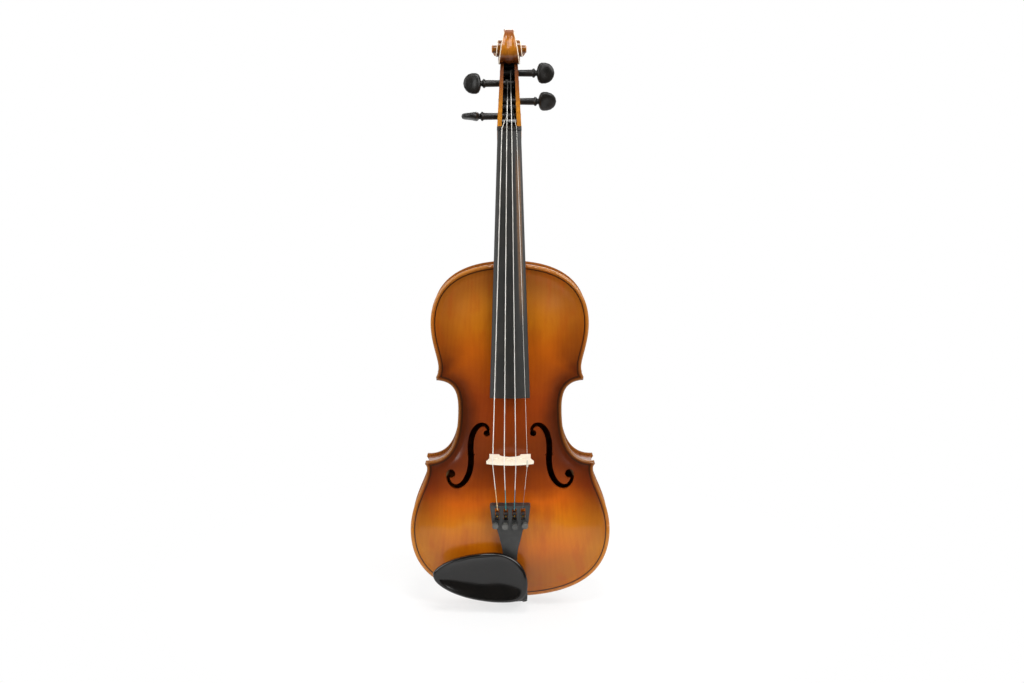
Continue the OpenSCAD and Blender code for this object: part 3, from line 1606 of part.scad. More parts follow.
top_plate();
back_plate();
top_purfling();
back_purfling();
rib(BASS, upper_corner_z, body_len);  // rib_upper_bass
rib(TREBLE, upper_corner_z, body_len);  // rib_upper_treble
rib(BASS, lower_corner_z, upper_corner_z);  // rib_middle_bass
rib(TREBLE, lower_corner_z, upper_corner_z);  // rib_middle_treble
rib(BASS, 0, lower_corner_z);  // rib_lower_bass
rib(TREBLE, 0, lower_corner_z);  // rib_lower_treble
top_linings();
back_linings();
corner_blocks();
upper_block();
lower_block();
bass_bar();
sound_post();
neck();
fingerboard();
nut();
saddle();
end_button();
tail_gut();
peg(G);  // peg_g
peg(D);  // peg_d
peg(A);  // peg_a
peg(E);  // peg_e
winding(G);  // winding_g
winding(D);  // winding_d
winding(A);  // winding_a
winding(E);  // winding_e
string_run(G);  // string_g
string_run(D);  // string_d
string_run(A);  // string_a
string_run(E);  // string_e
e_string_sleeve();
bridge();
tailpiece();
tuner_pivots();
tuner_lever(G);  // tuner_lever_g
tuner_lever(D);  // tuner_lever_d
tuner_lever(A);  // tuner_lever_a
tuner_lever(E);  // tuner_lever_e
tuner_screw(G);  // tuner_screw_g
tuner_screw(D);  // tuner_screw_d
tuner_screw(A);  // tuner_screw_a
tuner_screw(E);  // tuner_screw_e
string_ball(G);  // string_ball_g
string_ball(D);  // string_ball_d
string_ball(A);  // string_ball_a
string_ball(E);  // string_ball_e
chinrest();
chinrest_cork();
clamp_posts();
clamp_barrel(BASS);  // clamp_barrel_bass
clamp_barrel(TREBLE);  // clamp_barrel_treble
clamp_hook(BASS);  // clamp_hook_bass
clamp_hook(TREBLE);  // clamp_hook_treble
hook_cork(BASS);  // hook_cork_bass
hook_cork(TREBLE);  // hook_cork_treble
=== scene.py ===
"""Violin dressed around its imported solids: plates, scroll, fittings, finishes and studio.

Lengths in this file are millimetres in the row frame, and MM turns them into metres.
"""

from __future__ import annotations

import json
import logging
import math
from dataclasses import dataclass, field
from enum import Enum
from typing import Sequence

import bmesh
import bpy
import numpy as np
from mathutils import Matrix, Vector
from mathutils.geometry import delaunay_2d_cdt

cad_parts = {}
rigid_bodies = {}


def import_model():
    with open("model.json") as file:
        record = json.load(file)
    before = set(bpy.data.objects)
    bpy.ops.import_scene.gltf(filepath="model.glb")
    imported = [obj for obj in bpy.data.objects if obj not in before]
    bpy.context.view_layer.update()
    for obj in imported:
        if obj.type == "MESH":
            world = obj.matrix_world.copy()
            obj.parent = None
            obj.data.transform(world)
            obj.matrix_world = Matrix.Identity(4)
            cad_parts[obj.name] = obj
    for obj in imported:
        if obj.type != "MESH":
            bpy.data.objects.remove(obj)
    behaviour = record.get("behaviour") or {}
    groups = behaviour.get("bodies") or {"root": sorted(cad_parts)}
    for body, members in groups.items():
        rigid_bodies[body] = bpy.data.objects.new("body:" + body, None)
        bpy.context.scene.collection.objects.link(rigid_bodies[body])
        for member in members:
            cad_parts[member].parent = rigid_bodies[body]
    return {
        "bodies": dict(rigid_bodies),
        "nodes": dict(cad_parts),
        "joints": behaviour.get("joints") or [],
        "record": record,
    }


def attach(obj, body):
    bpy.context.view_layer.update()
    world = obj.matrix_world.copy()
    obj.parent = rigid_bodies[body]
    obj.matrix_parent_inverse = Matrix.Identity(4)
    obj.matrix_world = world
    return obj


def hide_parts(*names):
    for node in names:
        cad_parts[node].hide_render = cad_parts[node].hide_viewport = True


LOG = logging.getLogger("violin")
MM = 0.001
EDGE_ATTRIBUTE = "edge_mm"
# Vertex layer: above 0 on rubbed edges, below 0 where stain and painted shade darken the wood.
WEAR_AND_SHADE_ATTRIBUTE = "wear"
# Height of the darkest shading, at the waist
DARKEST_Z = 205.0

Point = np.ndarray
Colour = tuple[float, float, float, float]


class Side(Enum):
    """Side of the instrument, by the sign of its X."""

    BASS = -1
    TREBLE = 1


class Face(Enum):
    """Face of the body, by the sign of its Y."""

    FRONT = -1
    BACK = 1


class String(Enum):
    """The four strings, bass to treble, by the letter in their nodes' names."""

    G = "g"
    D = "d"
    A = "a"
    E = "e"


def hex_colour(code: str) -> Colour:
    """Turn a display colour into linear light.

    Args:
        code: Six hexadecimal digits.

    Returns:
        Red, green, blue and a full alpha.
    """
    parts = [int(code[i : i + 2], 16) / 255 for i in (0, 2, 4)]
    linear = [c / 12.92 if c <= 0.04045 else ((c + 0.055) / 1.055) ** 2.4 for c in parts]
    return (linear[0], linear[1], linear[2], 1.0)


def bezier(a: Sequence[float], b: Sequence[float], c: Sequence[float], d: Sequence[float],
           steps: int) -> list[Point]:
    """Sample a cubic curve, leaving out its first point.

    Args:
        a: Start point.
        b: Handle of the start.
        c: Handle of the end.
        d: End point.
        steps: Number of points.

    Returns:
        The points after the start, in order.
    """
    pa, pb, pc, pd = (np.asarray(p, float) for p in (a, b, c, d))
    points = []
    for i in range(1, steps + 1):
        t = i / steps
        u = 1 - t
        points.append(u**3 * pa + 3 * u * u * t * pb + 3 * u * t * t * pc + t**3 * pd)
    return points


def smooth_ramp(t: np.ndarray) -> np.ndarray:
    """Ease from 0 to 1 as t goes from 0 to 1."""
    t = np.clip(t, 0.0, 1.0)
    return t * t * (3 - 2 * t)


def distance_to_path(points: np.ndarray, path: np.ndarray, at_once: int = 1500) -> np.ndarray:
    """Distance of points from an open path in the plane.

    Args:
        points: Array of N points.
        path: Array of M path points.
        at_once: How many points are measured together, which bounds the memory.

    Returns:
        N distances.
    """
    start, along = path[:-1], path[1:] - path[:-1]
    length2 = np.maximum((along**2).sum(1), 1e-12)
    result = np.empty(len(points))
    for first in range(0, len(points), at_once):
        block = points[first : first + at_once, None, :] - start[None]
        t = np.clip((block * along).sum(2) / length2, 0, 1)
        result[first : first + at_once] = np.sqrt(((block - t[..., None] * along) ** 2).sum(2)).min(1)
    return result


def inside_loop(points: np.ndarray, loop: np.ndarray) -> np.ndarray:
    """Tell which points lie inside a closed loop, by counting crossings.

    Args:
        points: Array of N points.
        loop: Array of loop points, without a repeat of the first.

    Returns:
        N truth values.
    """
    result = np.zeros(len(points), bool)
    x, y = points[:, 0], points[:, 1]
    for (x0, y0), (x1, y1) in zip(loop, np.roll(loop, -1, axis=0)):
        if y0 == y1:
            continue
        crosses = (y0 > y) != (y1 > y)
        result ^= crosses & (x < (x1 - x0) * (y - y0) / (y1 - y0) + x0)
    return result


@dataclass(frozen=True)
class Outline:
    """Plan of the body from the front: X across, height above the lower edge.

    Each pull is how far the two handles of a curve reach, as shares of what the curve spans.
    """

    length: float = 356.0
    lower_hw: float = 105.4
    lower_z: float = 73.0
    waist_hw: float = 53.9
    waist_z: float = 205.0
    upper_hw: float = 81.7
    upper_z: float = 293.5
    lower_tip: tuple[float, float] = (88.8, 146.8)
    upper_tip: tuple[float, float] = (76.4, 236.4)
    tip_length: float = 3.5
    lower_flank: tuple[float, float] = (-1.6, -6.2)
    upper_flank: tuple[float, float] = (-2.3, 12.1)
    bottom_pull: tuple[float, float] = (0.74, 0.425)
    lower_pull: tuple[float, float] = (0.46, 0.245)
    lower_bay_pull: tuple[float, float] = (0.235, 0.583)
    upper_bay_pull: tuple[float, float] = (0.574, 0.184)
    upper_pull: tuple[float, float] = (0.21, 0.43)
    crown_pull: tuple[float, float] = (0.592, 0.71)

    def half(self, density: int = 1) -> np.ndarray:
        """Treble half, from the lower edge's middle to the upper edge's middle.

        Args:
            density: Multiplies the number of points on each curve.

        Returns:
            Array of points.
        """
        lt, ut = np.array(self.lower_tip), np.array(self.upper_tip)
        blunt = self.tip_length / 2
        lower_flank, upper_flank = lt + self.lower_flank, ut + self.upper_flank
        lower_out, lower_in = lt + [0.5, -blunt], lt + [-0.5, blunt]
        upper_in, upper_out = ut + [-0.2, -blunt], ut + [0.2, blunt]
        lower, upper = (self.lower_hw, self.lower_z), (self.upper_hw, self.upper_z)
        waist = (self.waist_hw, self.waist_z)
        points = [np.zeros(2)]
        wide, tall = self.bottom_pull
        points += bezier(
            (0, 0), (wide * self.lower_hw, 0), (self.lower_hw, tall * self.lower_z), lower, 16 * density)
        rise = lower_flank[1] - self.lower_z
        near, far = self.lower_pull
        points += bezier(
            lower, (self.lower_hw, self.lower_z + near * rise), lower_flank - [0, far * rise], lower_flank,
            9 * density)
        points += bezier(lower_flank, lower_flank + [0, 1.9], lower_out - [0.9, 1], lower_out, 4 * density)
        bay = lower_in - waist
        wide, tall = self.lower_bay_pull
        points += [lower_in] + bezier(
            lower_in, (self.waist_hw + wide * bay[0], lower_in[1] - 1.4),
            (self.waist_hw, self.waist_z + tall * bay[1]), waist, 13 * density)
        bay = upper_in - waist
        tall, wide = self.upper_bay_pull
        points += bezier(
            waist, (self.waist_hw, self.waist_z + tall * bay[1]),
            (self.waist_hw + wide * bay[0], upper_in[1] - 1.1), upper_in, 11 * density)
        points += [upper_out] + bezier(
            upper_out, upper_out + [-1.4, 2.3], upper_flank - [0, 4.5], upper_flank, 4 * density)
        climb = self.upper_z - upper_flank[1]
        near, far = self.upper_pull
        points += bezier(
            upper_flank, upper_flank + [0, near * climb], (self.upper_hw, self.upper_z - far * climb), upper,
            7 * density)
        crown = self.length - self.upper_z
        tall, wide = self.crown_pull
        points += bezier(
            upper, (self.upper_hw, self.upper_z + tall * crown), (wide * self.upper_hw, self.length),
            (0, self.length), 13 * density)
        return np.array(points)

    def loop(self, density: int = 1) -> np.ndarray:
        """Whole outline, counter-clockwise from the lower edge's middle."""
        half = self.half(density)
        mirrored = half[1:-1][::-1] * [-1, 1]
        return np.vstack([half, mirrored])

    def edge_distance(self, points: np.ndarray) -> np.ndarray:
        """Distance of plan points from the outline."""
        folded = np.column_stack([np.abs(points[:, 0]), points[:, 1]])
        return distance_to_path(folded, self.half(3))

    def cross_half_width(self, z: np.ndarray) -> np.ndarray:
        """Half width that the cross curve of the arch spans at each height."""
        crown = self.length - self.upper_z
        low = self.lower_hw * np.sqrt(np.maximum(0, 1 - ((self.lower_z - z) / self.lower_z) ** 2))
        high = self.upper_hw * np.sqrt(np.maximum(0, 1 - ((z - self.upper_z) / crown) ** 2))
        to_waist = smooth_ramp((z - self.lower_z) / (self.waist_z - self.lower_z))
        to_upper = smooth_ramp((z - self.waist_z) / (self.upper_z - self.waist_z))
        middle = np.where(z < self.waist_z, self.lower_hw + (self.waist_hw - self.lower_hw) * to_waist,
                          self.waist_hw + (self.upper_hw - self.waist_hw) * to_upper)
        return np.where(z < self.lower_z, low, np.where(z > self.upper_z, high, middle))


@dataclass(frozen=True)
class Frame:
    """Planes that the pieces share."""

    edge_z: float = 10.0
    glue_y: float = 15.0
    plate_edge: float = 4.0
    bridge_up: float = 156.5

    @property
    def top_z(self) -> float:
        """Upper edge of the body."""
        return self.edge_z + Outline().length


@dataclass(frozen=True)
class SoundHole:
    """One sound hole, drawn on the treble side.

    The stem's ends are measured from the eyes, and so are the handles of its two curves.
    """

    upper_eye: tuple[float, float] = (24.1, 180.1)
    upper_r: float = 3.4
    lower_eye: tuple[float, float] = (62.1, 135.6)
    lower_r: float = 4.6
    stem_w: float = 6.3
    end_w: float = 3.2
    notch_w: float = 9.4
    notch_hw: float = 1.7
    notch_tip: float = 0.3
    stem_start: tuple[float, float] = (-1.8, 3.2)
    stem_end: tuple[float, float] = (3.6, -1.2)
    stem_mid: tuple[float, float] = (0.44, 0.5)
    upper_handles: tuple[tuple[float, float], ...] = ((0.2, 15.4), (3.2, 8.6))
    lower_handles: tuple[tuple[float, float], ...] = ((-2.3, -12.6), (1.0, -23.6))
    steps: int = 26
    eye_steps: int = 40

    def stem_path(self) -> np.ndarray:
        """Middle line of the stem, top to bottom."""
        upper, lower = np.array(self.upper_eye), np.array(self.lower_eye)
        share, above = self.stem_mid
        mid = np.array([upper[0] + share * (lower[0] - upper[0]), Frame().bridge_up + above])
        start, end = upper + self.stem_start, lower + self.stem_end
        hook, turn = self.upper_handles
        first = bezier(start, upper + hook, (mid[0] + turn[0], upper[1] + turn[1]), mid, self.steps)
        turn, hook = self.lower_handles
        second = bezier(mid, (mid[0] + turn[0], lower[1] + turn[1]), lower + hook, end, self.steps)
        return np.array([start] + first + second)

    def loops(self) -> list[np.ndarray]:
        """Closed loops whose union is the hole."""
        path = self.stem_path()
        share = np.linspace(0, 1, len(path))
        half = 0.5 * (self.end_w + (self.stem_w - self.end_w) * np.maximum(0, np.sin(np.pi * share)) ** 0.9)
        tangent = np.gradient(path, axis=0)
        tangent /= np.linalg.norm(tangent, axis=1)[:, None]
        normal = np.column_stack([-tangent[:, 1], tangent[:, 0]])
        tip_a = path[0] - tangent[0] * half[0]
        tip_b = path[-1] + tangent[-1] * half[-1]
        left, right = path + normal * half[:, None], path - normal * half[:, None]
        loops = [np.vstack([tip_a, left, tip_b, right[::-1]])[::-1]]
        turn = np.linspace(0, 2 * np.pi, self.eye_steps, endpoint=False)
        circle = np.column_stack([np.cos(turn), np.sin(turn)])
        loops.append(np.array(self.upper_eye) + self.upper_r * circle)
        loops.append(np.array(self.lower_eye) + self.lower_r * circle)
        wide, middle, tip = self.notch_w / 2, self.notch_hw, self.notch_tip
        notch = [[-wide, -tip], [0, -middle], [wide, -tip], [wide, tip], [0, middle], [-wide, tip]]
        loops.append(path[self.steps] + np.array(notch))
        return loops


class Mesh:
    """Helpers that turn a bmesh into a finished piece."""

    SHARP = 34.0

    @staticmethod
    def finish(bm: bmesh.types.BMesh, name: str, sharp: float = SHARP) -> bpy.types.Object:
        """Write a bmesh, in metres, to a new smooth-shaded object at the origin.

        Args:
            bm: The mesh, which is freed.
            name: Name of the piece.
            sharp: Angle in degrees past which an edge stays sharp.

        Returns:
            The new object.
        """
        data = bpy.data.meshes.new(name)
        bm.to_mesh(data)
        bm.free()
        data.polygons.foreach_set("use_smooth", np.ones(len(data.polygons), bool))
        data.set_sharp_from_angle(angle=math.radians(sharp))
        piece = bpy.data.objects.new(name, data)
        bpy.context.scene.collection.objects.link(piece)
        return piece

    @staticmethod
    def bevel(piece: bpy.types.Object, width: float, segments: int = 2, angle: float = 38.0) -> None:
        """Round a piece's sharp edges with a modifier.

        Args:
            piece: The piece.
            width: Width of the rounding in millimetres.
            segments: Steps of the rounding.
            angle: Edges sharper than this are rounded, in degrees.
        """
        modifier = piece.modifiers.new("rounding", "BEVEL")
        modifier.limit_method = "ANGLE"
        modifier.angle_limit = math.radians(angle)
        modifier.width = width * MM
        modifier.segments = segments
        modifier.profile = 0.5

    @staticmethod
    def loft(bm: bmesh.types.BMesh,
             rings: Sequence[Sequence[Sequence[float]]]) -> list[list[bmesh.types.BMVert]]:
        """Extrude a closed row of points through the rows that follow, and cap both ends.

        Args:
            bm: The mesh.
            rings: Rows with the same number of points, in millimetres.

        Returns:
            The vertices of each row.
        """
        row = [bm.verts.new(Vector(point) * MM) for point in rings[0]]
        edges = [bm.edges.new(pair) for pair in zip(row, row[1:] + row[:1])]
        bmesh.ops.contextual_create(bm, geom=edges)
        rows = [row]
        for points in rings[1:]:
            made = bmesh.ops.extrude_edge_only(bm, edges=edges)["geom"]
            fresh = {item for item in made if isinstance(item, bmesh.types.BMVert)}
            pairs = [[edge.other_vert(vert) for edge in vert.link_edges] for vert in row]
            row = [next(other for other in pair if other in fresh) for pair in pairs]
            for vert, point in zip(row, points):
                vert.co = Vector(point) * MM
            edges = [bm.edges.get(pair) for pair in zip(row, row[1:] + row[:1])]
            rows.append(row)
        bmesh.ops.contextual_create(bm, geom=edges)
        return rows

    @staticmethod
    def block(bm: bmesh.types.BMesh, x: Sequence[float], deep: Sequence[float], z: Sequence[float],
              soft: float, rise: Sequence[float] = (0.0, 0.0)) -> None:
        """Add a block with rounded edges.

        Args:
            bm: The mesh.
            x: Its two ends across, in millimetres.
            deep: Its two faces, measured forwards from the middle plane.
            z: Its two heights.
            soft: Width of the rounding.
            rise: How much higher its underside is at the front, at its bass and its treble end.
        """
        made = bmesh.ops.create_cube(bm, size=1.0)
        centre = Vector(((x[0] + x[1]) / 2, -(deep[0] + deep[1]) / 2, (z[0] + z[1]) / 2)) * MM
        size = [abs(pair[1] - pair[0]) * MM for pair in (x, deep, z)]
        place = Matrix.Translation(centre) @ Matrix.Diagonal((*size, 1))
        bmesh.ops.transform(bm, matrix=place, verts=made["verts"])
        front = [v for v in made["verts"] if v.co.y < centre.y and v.co.z < centre.z]
        for vert in front:
            vert.co.z += rise[int(vert.co.x > centre.x)] * MM
        edges = list({edge for vert in made["verts"] for edge in vert.link_edges})
        bmesh.ops.bevel(
            bm, geom=edges, offset=soft * MM, affect="EDGES", segments=3, profile=0.5, material=-1)

    @staticmethod
    def tidy(bm: bmesh.types.BMesh, distance: float = 0.002) -> None:
        """Merge doubled vertices and turn all faces outwards."""
        bmesh.ops.remove_doubles(bm, verts=bm.verts[:], dist=distance * MM)
        bmesh.ops.recalc_face_normals(bm, faces=bm.faces[:])

    @staticmethod
    def point_values(piece: bpy.types.Object, name: str, values: np.ndarray) -> None:
        """Store one number per vertex for a material to read."""
        layer = piece.data.attributes.new(name, "FLOAT", "POINT")
        layer.data.foreach_set("value", np.asarray(values, np.float32))


class Effects:
    """Shader node groups that several finishes share, built once each."""

    _made: dict[str, bpy.types.NodeTree] = {}

    @classmethod
    def _group(cls, name: str, inputs: dict[str, object],
               outputs: Sequence[str]) -> tuple[bpy.types.NodeTree, bool]:
        """Find or start a group.

        Args:
            name: Name of the group.
            inputs: Socket names with default values, None for a vector.
            outputs: Names of the number outputs.

        Returns:
            The group, and whether it still has to be filled.
        """
        if name in cls._made:
            return cls._made[name], False
        tree = bpy.data.node_groups.new(name, "ShaderNodeTree")
        for label, value in inputs.items():
            kind = "NodeSocketVector" if value is None else "NodeSocketFloat"
            socket = tree.interface.new_socket(label, in_out="INPUT", socket_type=kind)
            if value is not None:
                socket.default_value = value
        for label in outputs:
            tree.interface.new_socket(label, in_out="OUTPUT", socket_type="NodeSocketFloat")
        cls._made[name] = tree
        return tree, True

    @classmethod
    def grain(cls) -> bpy.types.NodeTree:
        """Straight wood grain along Z: year lines and the fibres between them."""
        inputs = {"Vector": None, "Lines per mm": 0.9, "Waver": 0.6}
        tree, fresh = cls._group("wood grain", inputs, ("Line", "Fibre"))
        if not fresh:
            return tree
        net = Net(tree)
        start, end = net.add("NodeGroupInput"), net.add("NodeGroupOutput")
        waver = net.noise(net.scaled(start.outputs["Vector"], (0.02, 0.02, 0.008)), 1.0, 2.0)
        x, _, _ = net.split(start.outputs["Vector"])
        sway = net.times(start.outputs["Waver"], 12.0)
        shifted = net.math("ADD", x, net.times(waver, sway))
        phase = net.times(net.times(shifted, start.outputs["Lines per mm"]), 2 * math.pi)
        wave = net.math("MULTIPLY_ADD", net.math("SINE", phase), 0.5, 0.5)
        net.link(net.math("POWER", wave, 3.0), end.inputs["Line"])
        fibre = net.noise(net.scaled(start.outputs["Vector"], (3.0, 3.0, 0.06)), 1.0, 3.0)
        net.link(fibre, end.inputs["Fibre"])
        return tree

    @classmethod
    def flame(cls) -> bpy.types.NodeTree:
        """Curl of flamed maple: soft bars across the grain."""
        tree, fresh = cls._group("maple flame", {"Vector": None, "Bars per mm": 0.11}, ("Bar",))
        if not fresh:
            return tree
        net = Net(tree)
        start, end = net.add("NodeGroupInput"), net.add("NodeGroupOutput")
        bend = net.noise(net.scaled(start.outputs["Vector"], (0.03, 0.03, 0.05)), 1.0, 2.0)
        _, _, z = net.split(start.outputs["Vector"])
        shifted = net.math("ADD", z, net.times(bend, 26.0))
        phase = net.times(net.times(shifted, start.outputs["Bars per mm"]), 2 * math.pi)
        net.link(net.math("MULTIPLY_ADD", net.math("SINE", phase), 0.5, 0.5), end.inputs["Bar"])
        return tree

    @classmethod
    def handling(cls) -> bpy.types.NodeTree:
        """Uneven polish from handling: broad smears and fine specks."""
        tree, fresh = cls._group("handling", {"Vector": None, "Size": 20.0}, ("Smear", "Speck"))
        if not fresh:
            return tree
        net = Net(tree)
        start, end = net.add("NodeGroupInput"), net.add("NodeGroupOutput")
        small = net.math("DIVIDE", 1.0, start.outputs["Size"])
        moved = net.add("ShaderNodeVectorMath", operation="SCALE")
        net.link(start.outputs["Vector"], moved.inputs[0])
        net.link(small, moved.inputs["Scale"])
        net.link(net.noise(moved.outputs[0], 1.0, 4.0), end.inputs["Smear"])
        net.link(net.noise(start.outputs["Vector"], 1.6, 2.0), end.inputs["Speck"])
        return tree


class Net:
    """Short way to lay nodes in a tree."""

    def __init__(self, tree: bpy.types.NodeTree) -> None:
        """Work on the given tree."""
        self.tree = tree

    def add(self, kind: str, **settings: object) -> bpy.types.Node:
        """Add a node and set its properties."""
        node = self.tree.nodes.new(kind)
        for name, value in settings.items():
            setattr(node, name, value)
        return node

    def link(self, source: bpy.types.NodeSocket, target: bpy.types.NodeSocket) -> None:
        """Join two sockets."""
        self.tree.links.new(source, target)

    def feed(self, value: object, target: bpy.types.NodeSocket) -> None:
        """Link a socket, or set a plain value; a string is a display colour."""
        if isinstance(value, bpy.types.NodeSocket):
            self.link(value, target)
        else:
            target.default_value = hex_colour(value) if isinstance(value, str) else value

    def math(self, operation: str, a: object, b: object = 0.0, c: object = 0.0) -> bpy.types.NodeSocket:
        """Result of a Math node on two or three values."""
        node = self.add("ShaderNodeMath", operation=operation)
        for value, target in zip((a, b, c), node.inputs):
            self.feed(value, target)
        return node.outputs[0]

    def times(self, a: object, b: object) -> bpy.types.NodeSocket:
        """Product of two values."""
        return self.math("MULTIPLY", a, b)

    def span(self, value: object, low: float, high: float, to_low: float = 0.0,
             to_high: float = 1.0) -> bpy.types.NodeSocket:
        """Ease a value from one range into another.

        Args:
            value: What is measured.
            low: Where the easing starts.
            high: Where it ends.
            to_low: Result at the start.
            to_high: Result at the end.

        Returns:
            The eased socket.
        """
        node = self.add("ShaderNodeMapRange", interpolation_type="SMOOTHSTEP")
        self.feed(value, node.inputs["Value"])
        for label, number in zip(("From Min", "From Max", "To Min", "To Max"), (low, high, to_low, to_high)):
            node.inputs[label].default_value = number
        return node.outputs[0]

    def split(self, vector: bpy.types.NodeSocket) -> tuple[bpy.types.NodeSocket, ...]:
        """The three parts of a vector."""
        node = self.add("ShaderNodeSeparateXYZ")
        self.link(vector, node.inputs[0])
        return tuple(node.outputs)

    def scaled(self, vector: bpy.types.NodeSocket, scale: Sequence[float]) -> bpy.types.NodeSocket:
        """A vector stretched along its axes."""
        node = self.add("ShaderNodeMapping")
        self.link(vector, node.inputs["Vector"])
        node.inputs["Scale"].default_value = scale
        return node.outputs[0]

    def noise(self, vector: bpy.types.NodeSocket, scale: float, detail: float) -> bpy.types.NodeSocket:
        """Soft noise on a vector."""
        node = self.add("ShaderNodeTexNoise")
        self.link(vector, node.inputs["Vector"])
        node.inputs["Scale"].default_value = scale
        node.inputs["Detail"].default_value = detail
        return node.outputs["Fac"]

    def blend(self, share: object, a: object, b: object, mode: str = "MIX") -> bpy.types.NodeSocket:
        """Mix two colours by a share."""
        node = self.add("ShaderNodeMix", data_type="RGBA", blend_type=mode)
        self.feed(share, node.inputs[0])
        self.feed(a, node.inputs[6])
        self.feed(b, node.inputs[7])
        return node.outputs[2]

    def ramp(self, share: bpy.types.NodeSocket, stops: Sequence[tuple[float, str]]) -> bpy.types.NodeSocket:
        """Colour along a ramp of display colours."""
        node = self.add("ShaderNodeValToRGB")
        elements = node.color_ramp.elements
        while len(elements) < len(stops):
            elements.new(0.5)
        for element, (place, code) in zip(elements, stops):
            element.position = place
            element.color = hex_colour(code)
        self.link(share, node.inputs[0])
        return node.outputs[0]

    def group(self, tree: bpy.types.NodeTree, **values: object) -> bpy.types.Node:
        """Place a shared effect; underscores in names stand for spaces."""
        node = self.add("ShaderNodeGroup")
        node.node_tree = tree
        for label, value in values.items():
            self.feed(value, node.inputs[label.replace("_", " ")])
        return node


class Surface(Net):
    """A material with one Principled shader and coordinates in millimetres."""

    def __init__(self, name: str, **plain: object) -> None:
        """Start a material.

        Args:
            name: Name of the finish.
            plain: Constant socket values, with underscores for spaces.
        """
        self.material = bpy.data.materials.new(name)
        self.material.use_nodes = True
        super().__init__(self.material.node_tree)
        self.shader = self.tree.nodes["Principled BSDF"]
        for label, value in plain.items():
            self.shader.inputs[label.replace("_", " ")].default_value = value
        place = self.add("ShaderNodeTexCoord")
        self.mm = self.scaled(place.outputs["Object"], (1000.0, 1000.0, 1000.0))
        self.x, self.y, self.z = self.split(self.mm)

    def attribute(self, name: str) -> bpy.types.NodeSocket:
        """A number stored on the piece's vertices."""
        return self.add("ShaderNodeAttribute", attribute_name=name).outputs["Fac"]

    def colour(self, value: object) -> None:
        """Set the base colour."""
        self.feed(value, self.shader.inputs["Base Color"])

    def rough(self, value: object) -> None:
        """Set the roughness."""
        self.feed(value, self.shader.inputs["Roughness"])

    def bump(self, height: bpy.types.NodeSocket, depth: float) -> None:
        """Raise the surface by a height in units of depth millimetres."""
        node = self.add("ShaderNodeBump")
        node.inputs["Strength"].default_value = 1.0
        node.inputs["Distance"].default_value = depth * MM
        self.link(height, node.inputs["Height"])
        self.link(node.outputs["Normal"], self.shader.inputs["Normal"])


@dataclass(frozen=True)
class Finish:
    """A finish of the instrument."""

    name: str

    def surface(self) -> Surface:
        """Build the nodes."""
        raise NotImplementedError

    def material(self) -> bpy.types.Material:
        """The finish's material, made on first use."""
        known = bpy.data.materials.get(self.name)
        return known if known else self.surface().material


class Inlay:
    """The inlaid line beside a plate's edge: two dark strips with a paler heart."""

    def __init__(self, surface: Surface, edge: bpy.types.NodeSocket, at: float = 4.3) -> None:
        """Measure the line.

        Args:
            surface: The material it is drawn in.
            edge: Distance from the plate's edge in millimetres.
            at: Where the line's middle runs.
        """
        self.surface = surface
        self.from_line = surface.math("ABSOLUTE", surface.math("SUBTRACT", edge, at))
        self.mask = surface.span(self.from_line, 0.7, 0.5)

    def over(self, base: bpy.types.NodeSocket) -> bpy.types.NodeSocket:
        """Draw the line over a base colour."""
        s = self.surface
        strip = s.blend(s.span(self.from_line, 0.26, 0.12), "160803", "4A2A10")
        return s.blend(self.mask, base, strip)


